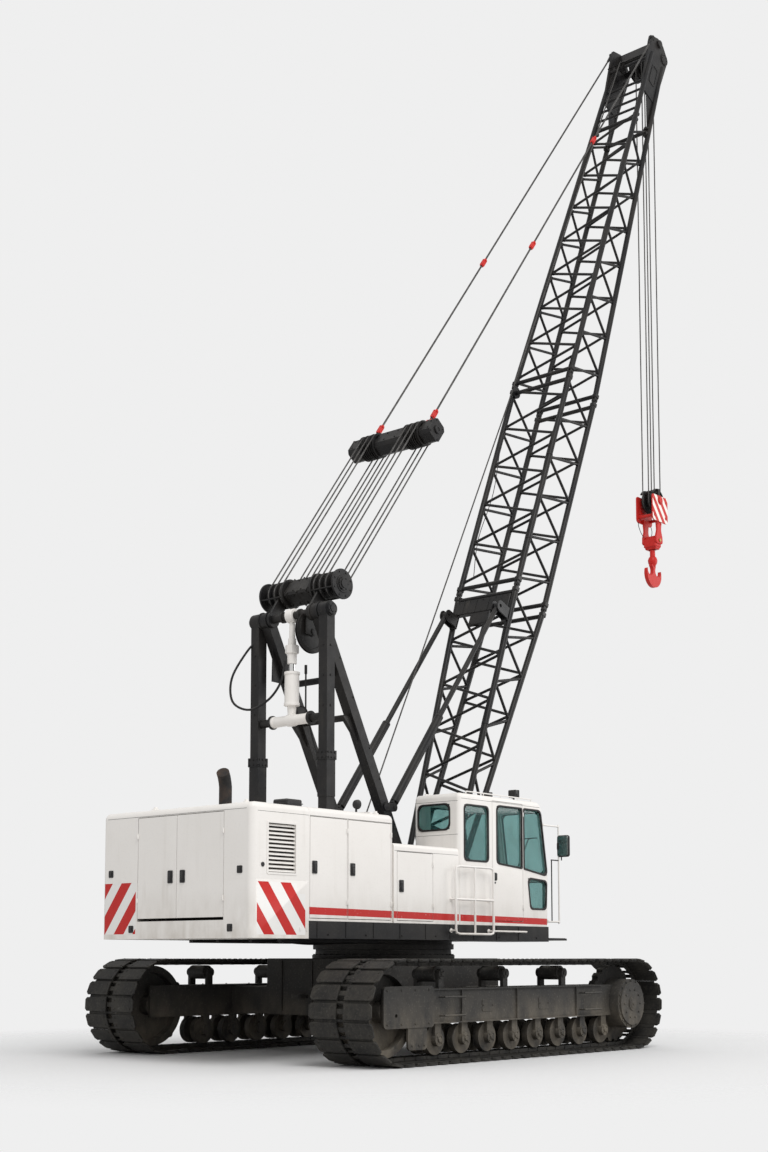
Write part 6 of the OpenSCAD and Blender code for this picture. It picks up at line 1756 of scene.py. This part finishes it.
def tangent(c1, r1, c2, r2, side):
    """Ends of the outer tangent of two circles, on the left (1) or right (-1) of c1 to c2."""
    d = Vector((c2[0] - c1[0], c2[1] - c1[1]))
    u = d.normalized()
    v = Vector((-u.y, u.x)) * side
    c = (r1 - r2) / d.length
    n = u * c + v * math.sqrt(1 - c * c)
    return Vector(c1) + n * r1, Vector(c2) + n * r2


def pendant_turn(side):
    """Axes of one pendant, from its eye on the spreader to its eye on the boom head."""
    slant = math.atan2(HEAD_EYE_Y - EYE_Y, RIG_LEN - EYE_S)
    return RIG_TURN @ Matrix.Translation((EYE_S, side * EYE_Y, 0)) @ Matrix.Rotation(side * slant, 4, "Z")


def build_rigging():
    fall_ys = [y * side for y in FALL_YS for side in (-1, 1)]
    still = Matrix.Identity(4)
    ropes("mast_falls", [[on_rig(0, y, -0.17), on_rig(SPREADER_S, y, -0.17)] for y in fall_ys],
          "gantry_ropes", ("gantry_falls",))
    ropes("spreader_rope_falls", [[on_rig(0, y, 0.17), on_rig(SPREADER_S, y, 0.17)] for y in fall_ys],
          "pendant_set", ("spreader_falls",))
    ropes("spreader_wraps", [wrap((SPREADER_S, 0), 0.17, -90, 90, y, RIG_TURN) for y in fall_ys],
          "pendant_set")
    ropes("mast_wraps", [wrap((0, 0), 0.17, 90, 270, y, RIG_TURN) for y in fall_ys], "upperworks")

    s = Shape()
    section = [(3.04, -0.08), (3.085, -0.125), (3.295, -0.125), (3.34, -0.08), (3.34, 0.08), (3.295, 0.125),
               (3.085, 0.125), (3.04, 0.08)]
    s.prism(section, "xz", -0.27, 0.27, 0.004)
    slim = inset(section, 0.022)
    for side in (-1, 1):
        s.prism(slim, "xz", *span(side, 0.268, 0.572))
        s.prism(section, "xz", *span(side, 0.57, 0.768), 0.004)
        s.prism(inset(section, -0.006), "xz", *span(side, 0.764, 0.78), 0.003)
        for y in (0.281, 0.366, 0.474, 0.559):
            s.ring((SPREADER_S, side * y, 0), Y, 0.186, 0.15, 0.008, 48, 0.002)
        s.turned((SPREADER_S, side * 0.779, 0), Y * side,
                 [(0, 0.06), (0.019, 0.06), (0.025, 0.054), (0.025, 0.03), (0.018, 0.028),
                  (0.018, 0.004)], 32)
        for y in FALL_YS:
            sheave(s, (SPREADER_S, side * y, 0), Y, 0.1587, 0.052, 0.1)
        for u, v in ((3.075, -0.09), (3.305, -0.09), (3.075, 0.09), (3.305, 0.09)):
            bolt(s, (u, side * 0.7795, v), Y * side, 0.01)
        for y in (0.1, 0.6, 0.72):
            for u in (3.12, 3.26):
                for up in (1, -1):
                    bolt(s, (u, side * y, 0.125 * up), Z * up, 0.01)
    s.material = 1
    for side in (-1, 1):
        for k in (-1, 1):
            y = side * EYE_Y + k * 0.031
            plate = arc((EYE_S, 0), 0.042, -90, 90, 12) + [(3.332, 0.041), (3.332, -0.041)]
            s.plate(plate, [], "xz", y - 0.01, y + 0.01, 0.003)
        s.bar((EYE_S, side * EYE_Y - 0.05, 0), (EYE_S, side * EYE_Y + 0.05, 0), 0.018, 20, 0.003)
        s.turned((EYE_S, side * EYE_Y + 0.04, 0), Y, [(0, 0.024), (0.012, 0.024), (0.014, 0.02)], 6)
    piece("spreader_beam", Shape().join(s, RIG_TURN), "pendant_set", "dark red", ("spreader",))

    runs, ends, links = [], Shape(), Shape()
    length = math.hypot(RIG_LEN - EYE_S, EYE_Y - HEAD_EYE_Y)
    for side in (-1, 1):
        turn = pendant_turn(side)
        runs.append([turn @ Vector((x, 0, 0)) for x in (0.03, length - 0.02)])
        sockets = Shape()
        sockets.turned((0, 0, 0), X, [(0.036, 0.017), (0.06, 0.024), (0.088, 0.02), (0.089, 0.015)], 20)
        sockets.turned((length, 0, 0), -X, [(0.04, 0.018), (0.07, 0.028), (0.2, 0.021), (0.205, 0.015)], 20)
        ends.join(sockets, turn)
        local = Shape()
        local.ring((EYE_S, side * EYE_Y, 0), Y, 0.04, 0.0183, 0.036, 28, 0.004)
        local.ring((RIG_LEN, side * HEAD_EYE_Y, 0), Y, 0.045, 0.022, 0.044, 32, 0.004)
        local.bar((RIG_LEN, side * 0.4215, 0), (RIG_LEN, side * 0.463, 0), 0.0225, 20)
        ends.join(local, RIG_TURN)
        for at in (0.09, 4.4) + ((7.55,) if side < 0 else ()):
            unit = Shape()
            shape = rounded(rect(at, at + 0.19, -0.034, 0.034), 0.032, 6)
            for k in (-1, 1):
                unit.plate(shape, [], "xz", *span(k, 0.0155, 0.0225), 0.002)
                for x in (at + 0.035, at + 0.155):
                    unit.turned((x, k * 0.022, 0), Y * k, [(0, 0.016), (0.01, 0.016), (0.012, 0.013)], 16)
            for z in (-0.026, 0.026):
                unit.box((at + 0.055, at + 0.135), (-0.016, 0.016), (z - 0.0075, z + 0.0075), 0.003)
            unit.box((at + 0.008, at + 0.05), (-0.0156, 0.0156), (-0.03, -0.0158), 0.002)
            unit.box((at + 0.008, at + 0.05), (-0.0156, 0.0156), (0.0158, 0.03), 0.002)
            links.join(unit, turn)
    ropes("pendant_ropes", runs, "pendant_set", ("pendants",), r=0.015)
    piece("pendant_sockets", ends, "pendant_set", "rope")
    piece("pendant_shackles", links, "pendant_set", "red", ("pendant_links",))

    drum, guide = (-0.37, 2.15), on_boom(9.14, 0, 0.39)
    a, b = tangent(drum, 0.18, (guide.x, guide.z), 0.09, 1)
    ropes("drum_line", [[(a.x, 0.34, a.y), (b.x, 0.495, b.y)]], "hoist_rope", ("hoist_line",))
    c, d = tangent((GUIDE_S, GUIDE_T), 0.1013, (PIN_S, PIN_T), 0.2, 1)
    turn_c = math.degrees(math.atan2(c.y - GUIDE_T, c.x - GUIDE_S))
    turn_d = math.degrees(math.atan2(d.y - PIN_T, d.x - PIN_S))
    over = wrap((GUIDE_S, GUIDE_T), 0.1013, 90, turn_c, 0.12, BOOM_TURN, 8)
    over += wrap((PIN_S, PIN_T), 0.2, turn_d, -68, 0.06, BOOM_TURN, 20)
    ropes("boom_back_line", [[on_boom(9.18, 0.495, 0.48), on_boom(GUIDE_S, 0.12, 0.3713)]], "boom",
          ("boom_rope",))
    top = HOOK_PIN
    ropes("head_wraps", [over, wrap((top.x, top.z), 0.2, 0, 180, -0.06, still),
                         wrap((top.x, top.z), 0.2, 90, 180, 0.06, still, 12)], "boom")

    x = top.x
    upper = [(-0.2, -0.06), (0.2, 0.06)]
    lower = [(-0.2, 0.06), (0.2, -0.06)]
    ropes("hook_lines_upper", [[(top.x + dx, y, BLOCK_Z), (x + dx, y, top.z)] for dx, y in upper],
          "hook_ropes", ("hook_falls_upper",))
    ropes("hook_lines_lower", [[(top.x + dx, y, BLOCK_Z), (x + dx, y, top.z)] for dx, y in lower]
          + [[(x, 0, BLOCK_Z + 0.1903), (x, 0, top.z - 0.0503)]], "hook_block_set", ("hook_falls_lower",))
    ropes("block_wraps", [wrap((x, BLOCK_Z), 0.2, 180, 360, y, still) for y in (-0.06, 0.06)],
          "hook_block_set")


# Hook block and hook


def build_hook():
    at = Matrix.Translation((HOOK_PIN.x, 0, BLOCK_Z))
    s = Shape()
    cheek = rounded(rect(-0.26, 0.26, -0.4, 0.08), [0.07, 0.07, 0.05, 0.05], 6)
    link = [(-0.09, -0.33), (-0.06, -0.541), (-0.105, -0.66), (-0.112, -0.79), (0.112, -0.79),
            (0.105, -0.66),
            (0.06, -0.541), (0.09, -0.33)]
    link = rounded(link, [0.0, 0.12, 0.06, 0.04, 0.04, 0.06, 0.12, 0.0], 6)
    for side in (-1, 1):
        s.material = 1
        s.plate(cheek, [], "xz", *span(side, 0.15, 0.175), 0.004)
        s.material = 0
        s.plate(link, [], "xz", *span(side, 0.112, 0.152), 0.005)
        s.turned((0, side * 0.174, 0), Y * side, [(0, 0.06), (0.018, 0.06), (0.022, 0.054), (0.023, 0.02),
                                                  (0.023, 0.003)], 40)
        s.ring((0, side * 0.177, 0), Y, 0.085, 0.058, 0.006, 40, 0.002)
        for u, v in around(0, 0, 0.073, 6, 30):
            bolt(s, (u, side * 0.179, v), Y * side, 0.006, 0.006)
        for bx in (-0.19, 0.19):
            s.turned((bx, side * 0.174, -0.3), Y * side,
                     [(0, 0.034), (0.003, 0.034), (0.003, 0.022), (0.016, 0.021), (0.018, 0.012)], 6)
            s.turned((bx, side * 0.174, -0.02), Y * side, [(0, 0.016), (0.009, 0.015)], 6)
        for bx in (-0.05, 0.05):
            bolt(s, (bx, side * 0.152, -0.43), Y * side, 0.012)
    for bx in (-0.19, 0.19):
        s.bar((bx, -0.152, -0.3), (bx, 0.152, -0.3), 0.028, 24)
    s.box((-0.05, 0.05), (-0.025, 0.025), (0.04, 0.19), 0.01)
    s.turned((0, -0.03, 0.14), Y, [(0, 0.02), (0.06, 0.02)], 20)
    s.box((-0.075, 0.075), (-0.114, 0.114), (-0.885, -0.645), 0.016)
    s.box((-0.1, 0.1), (-0.13, 0.13), (-0.855, -0.68), 0.022)
    s.turned((0, 0, -0.885), Z, [(0.0, 0.055), (0.0, 0.07), (0.012, 0.074), (0.02, 0.074)], 32)
    s.material = 2
    for y in (-0.06, 0.06):
        sheave(s, (0, y, 0), Y, 0.1887, 0.056, 0.07)
    s.bar((0, -0.155, 0), (0, 0.155, 0), 0.045, 32)
    for side in (-1, 1):
        guard = arc((0, 0), 0.222, 31, 149, 24) + arc((0, 0), 0.192, 144.5, 35.5, 24)
        s.plate(guard, [], "xz", *span(side, 0.1, 0.128), 0.003)
        s.box((-0.03, 0.03), span(side, 0.134, 0.1585), (0.07, 0.214), 0.003)
        s.box((-0.036, 0.036), span(side, 0.098, 0.151), (0.198, 0.209), 0.003)
    for a in (35, 90, 145):
        b = math.radians(a)
        s.bar((0.214 * math.cos(b), -0.101, 0.214 * math.sin(b)),
              (0.214 * math.cos(b), 0.101, 0.214 * math.sin(b)), 0.0065, 10)
    for side in (-1, 1):
        loop = [(side * 0.215, 0.155, -0.385), (side * 0.228, 0.14, -0.47), (side * 0.18, 0.125, -0.58),
                (side * 0.09, 0.118, -0.655)]
        s.tube(smooth_path(loop, 6), 0.006, 8)
    s.material = 3
    for side in (-1, 1):
        s.turned((0, side * 0.15, -0.73), Y * side,
                 [(-0.012, 0.03), (0.018, 0.03), (0.022, 0.024), (0.022, 0.003)], 32)
    piece("block", Shape().join(s, at), "hook_block_set",
          "red stripes dark brass", ("hook_block",))
    dressed("double_hook", "hook", "hook_set", "red", 0.013, 3)


# Stage


def lamp(name, place_at, target, size, power):
    data = bpy.data.lights.new(name, "AREA")
    data.shape = "RECTANGLE"
    data.size, data.size_y = size
    data.energy = power
    obj = bpy.data.objects.new(name, data)
    obj.location = place_at
    obj.rotation_euler = (Vector(target) - Vector(place_at)).to_track_quat("-Z", "Y").to_euler()
    bpy.context.scene.collection.objects.link(obj)


def build_floor(shade, reach):
    """Round pale floor that keeps the shadow and fades into the backdrop."""
    f = Finish("floor")
    away = f.node_length()
    tone = f.mix(f.noise(0.8, 3) * 0.04, (shade, shade, shade), (shade * 0.96, shade * 0.95, shade * 0.93))
    f.apply(Base_Color=tone, Roughness=f.noise(3, 3) * 0.1 + 0.85)
    f.bump(f.noise(6, 4), 0.002, 0.2)
    open_floor = f.make("ShaderNodeBsdfTransparent", {})
    f.blend(away.ramp(reach * 0.24, reach * 0.6), f.body.outputs[0], open_floor.outputs[0])
    s = Shape()
    rings = [circle(SLEW_X, 0, r, 64) for r in (0.5, reach * 0.5, reach)]
    s.rings([[(x, y, -0.002) for x, y in ring] for ring in rings], caps=False)
    s.add([(x, y, -0.002) for x, y in rings[0]], [tuple(range(64))])
    obj = as_object("floor", s, [f.material])
    if obj.data.polygons[0].normal.z < 0:
        obj.data.flip_normals()


def build_stage(settings):
    scene = bpy.context.scene
    scene.view_settings.view_transform = "Standard"

    cam = bpy.data.cameras.new("camera")
    cam.sensor_fit = "AUTO"
    cam.sensor_width = 36
    cam.lens = 1571.13 / 1152 * 36
    cam.shift_y = (803.62 - 576) / 1152
    cam.clip_end = 300
    view = bpy.data.objects.new("camera", cam)
    view.location = (SLEW_X - 16.765, -14.412, 1.2805)
    view.rotation_euler = (math.radians(90 + 5.596), 0, math.radians(40.66 - 90))
    scene.collection.objects.link(view)
    scene.camera = view

    world = bpy.data.worlds.new("studio")
    scene.world = world
    world.use_nodes = True
    tree = world.node_tree
    tree.nodes.clear()
    out = tree.nodes.new("ShaderNodeOutputWorld")
    path = tree.nodes.new("ShaderNodeLightPath")
    seen = Maths(tree, path.outputs["Is Camera Ray"]).most(Maths(tree, path.outputs["Is Glossy Ray"]))
    seen = seen.most(Maths(tree, path.outputs["Is Transmission Ray"]))
    shades = []
    for shade, strength in (((1, 1, 1), settings.sky), ((settings.backdrop,) * 3, 1.0)):
        light = tree.nodes.new("ShaderNodeBackground")
        light.inputs["Color"].default_value = (*shade, 1)
        light.inputs["Strength"].default_value = strength
        shades.append(light)
    mix = tree.nodes.new("ShaderNodeMixShader")
    tree.links.new(seen.socket, mix.inputs[0])
    tree.links.new(shades[0].outputs[0], mix.inputs[1])
    tree.links.new(shades[1].outputs[0], mix.inputs[2])
    tree.links.new(mix.outputs[0], out.inputs[0])

    build_floor(settings.floor_shade, settings.floor_reach)
    lamp("key", (SLEW_X - 8, -15, 22), (SLEW_X, 0, 3), (14, 14), settings.key_power)
    lamp("fill", (SLEW_X + 16, -12, 9), (SLEW_X + 2, 0, 6), (8, 8), settings.key_power * 0.25)


# Add-on


class CraneSettings(bpy.types.PropertyGroup):
    tube_sides: bpy.props.IntProperty(
        name="Tube sides", description="Sides of every round boom tube", default=20, min=8, max=32)
    sky: bpy.props.FloatProperty(
        name="Sky", description="Strength of the soft light from all round", default=0.68, min=0, max=2)
    backdrop: bpy.props.FloatProperty(
        name="Backdrop", description="Grey of the backdrop", default=0.863, min=0, max=1)
    floor_shade: bpy.props.FloatProperty(
        name="Floor shade", description="Grey of the floor", default=0.67, min=0, max=1)
    floor_reach: bpy.props.FloatProperty(
        name="Floor reach", description="Radius of the floor", default=15.0, unit="LENGTH", min=5)
    key_power: bpy.props.FloatProperty(
        name="Key power", description="Power of the large lamp", default=3600.0, subtype="POWER", min=0)


class CraneStep:
    """Shared part of every build operator."""

    bl_options = {"REGISTER", "UNDO"}
    needs = ()

    def execute(self, context):
        missing = [n for n in self.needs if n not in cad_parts]
        if missing:
            self.report({"ERROR"}, "nodes not found: " + ", ".join(missing))
            return {"CANCELLED"}
        if not PAINTS:
            make_paints()
        self.build(context.scene.crane_settings)
        return {"FINISHED"}


class CRANE_OT_paints(CraneStep, bpy.types.Operator):
    """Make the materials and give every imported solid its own"""

    bl_idname = "crane.paints"
    bl_label = "Paints"

    def build(self, settings):
        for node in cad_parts:
            repaint(node, next((p for k, p in NODE_PAINTS if k in node), "dark"))


class CRANE_OT_tracks(CraneStep, bpy.types.Operator):
    """Lay the shoes of both tracks and dress the undercarriage"""

    bl_idname = "crane.tracks"
    bl_label = "Tracks and undercarriage"
    needs = ("track_left", "track_right", "carbody", "slew_ring", "tow_lugs")

    def build(self, settings):
        build_tracks()
        build_undercarriage()


class CRANE_OT_house(CraneStep, bpy.types.Operator):
    """Dress the house, its doors, the deck, the engine and the drums"""

    bl_idname = "crane.house"
    bl_label = "House"
    needs = ("rear_house", "high_house", "deck", "engine", "hoist_drum")

    def build(self, settings):
        build_house()


class CRANE_OT_cab(CraneStep, bpy.types.Operator):
    """Dress the cab with its windows and fittings"""

    bl_idname = "crane.cab"
    bl_label = "Cab"
    needs = ("cab_shell", "cab_door", "cab_glass", "cab_interior")

    def build(self, settings):
        build_cab()


class CRANE_OT_fittings(CraneStep, bpy.types.Operator):
    """Build the lamps, the exhaust, the hand rails and the mirror"""

    bl_idname = "crane.fittings"
    bl_label = "Fittings"
    needs = ("lamps", "roof_fittings", "exhaust", "handrails", "mirror")

    def build(self, settings):
        build_fittings()


class CRANE_OT_gantry(CraneStep, bpy.types.Operator):
    """Build the gantry with its head, its cylinder and its hoses"""

    bl_idname = "crane.gantry"
    bl_label = "Gantry"
    needs = ("gantry_posts", "gantry_legs", "gantry_shaft", "gantry_cylinder", "gantry_bail")

    def build(self, settings):
        build_gantry()


class CRANE_OT_boom(CraneStep, bpy.types.Operator):
    """Build the lattice boom, its head and the backstops"""

    bl_idname = "crane.boom"
    bl_label = "Boom"
    needs = ("boom_base", "boom_middle", "boom_tip", "boom_head_sheaves", "backstop_tubes")

    def build(self, settings):
        build_boom(settings.tube_sides)


class CRANE_OT_rigging(CraneStep, bpy.types.Operator):
    """Build the ropes, the spreader and the pendants"""

    bl_idname = "crane.rigging"
    bl_label = "Rigging"
    needs = ("gantry_falls", "spreader", "pendants", "hoist_line", "boom_rope")

    def build(self, settings):
        build_rigging()


class CRANE_OT_hook(CraneStep, bpy.types.Operator):
    """Build the hook block and the double hook"""

    bl_idname = "crane.hook"
    bl_label = "Hook block"
    needs = ("hook_block", "hook")

    def build(self, settings):
        build_hook()


class CRANE_OT_stage(CraneStep, bpy.types.Operator):
    """Set up the camera, the floor and the lamps"""

    bl_idname = "crane.stage"
    bl_label = "Stage"

    def build(self, settings):
        build_stage(settings)


STEPS = (
    CRANE_OT_paints, CRANE_OT_tracks, CRANE_OT_house, CRANE_OT_cab, CRANE_OT_fittings,
    CRANE_OT_gantry, CRANE_OT_boom, CRANE_OT_rigging, CRANE_OT_hook, CRANE_OT_stage,
)


class CRANE_PT_panel(bpy.types.Panel):
    """Steps that build the crane's finished look"""

    bl_label = "Crane"
    bl_space_type = "VIEW_3D"
    bl_region_type = "UI"
    bl_category = "Crane"

    def draw(self, context):
        settings = context.scene.crane_settings
        for name in ("tube_sides", "sky", "backdrop", "floor_shade", "floor_reach", "key_power"):
            self.layout.prop(settings, name)
        for step in STEPS:
            self.layout.operator(step.bl_idname)


CLASSES = (CraneSettings, *STEPS, CRANE_PT_panel)


def register():
    for cls in CLASSES:
        bpy.utils.register_class(cls)
    bpy.types.Scene.crane_settings = bpy.props.PointerProperty(type=CraneSettings)


def unregister():
    del bpy.types.Scene.crane_settings
    for cls in reversed(CLASSES):
        bpy.utils.unregister_class(cls)


def main():
    register()
    for step in STEPS:
        group, name = step.bl_idname.split(".")
        if getattr(getattr(bpy.ops, group), name)() != {"FINISHED"}:
            raise RuntimeError(f"{step.bl_label} could not be built")


if __name__ == "__main__":
    main()
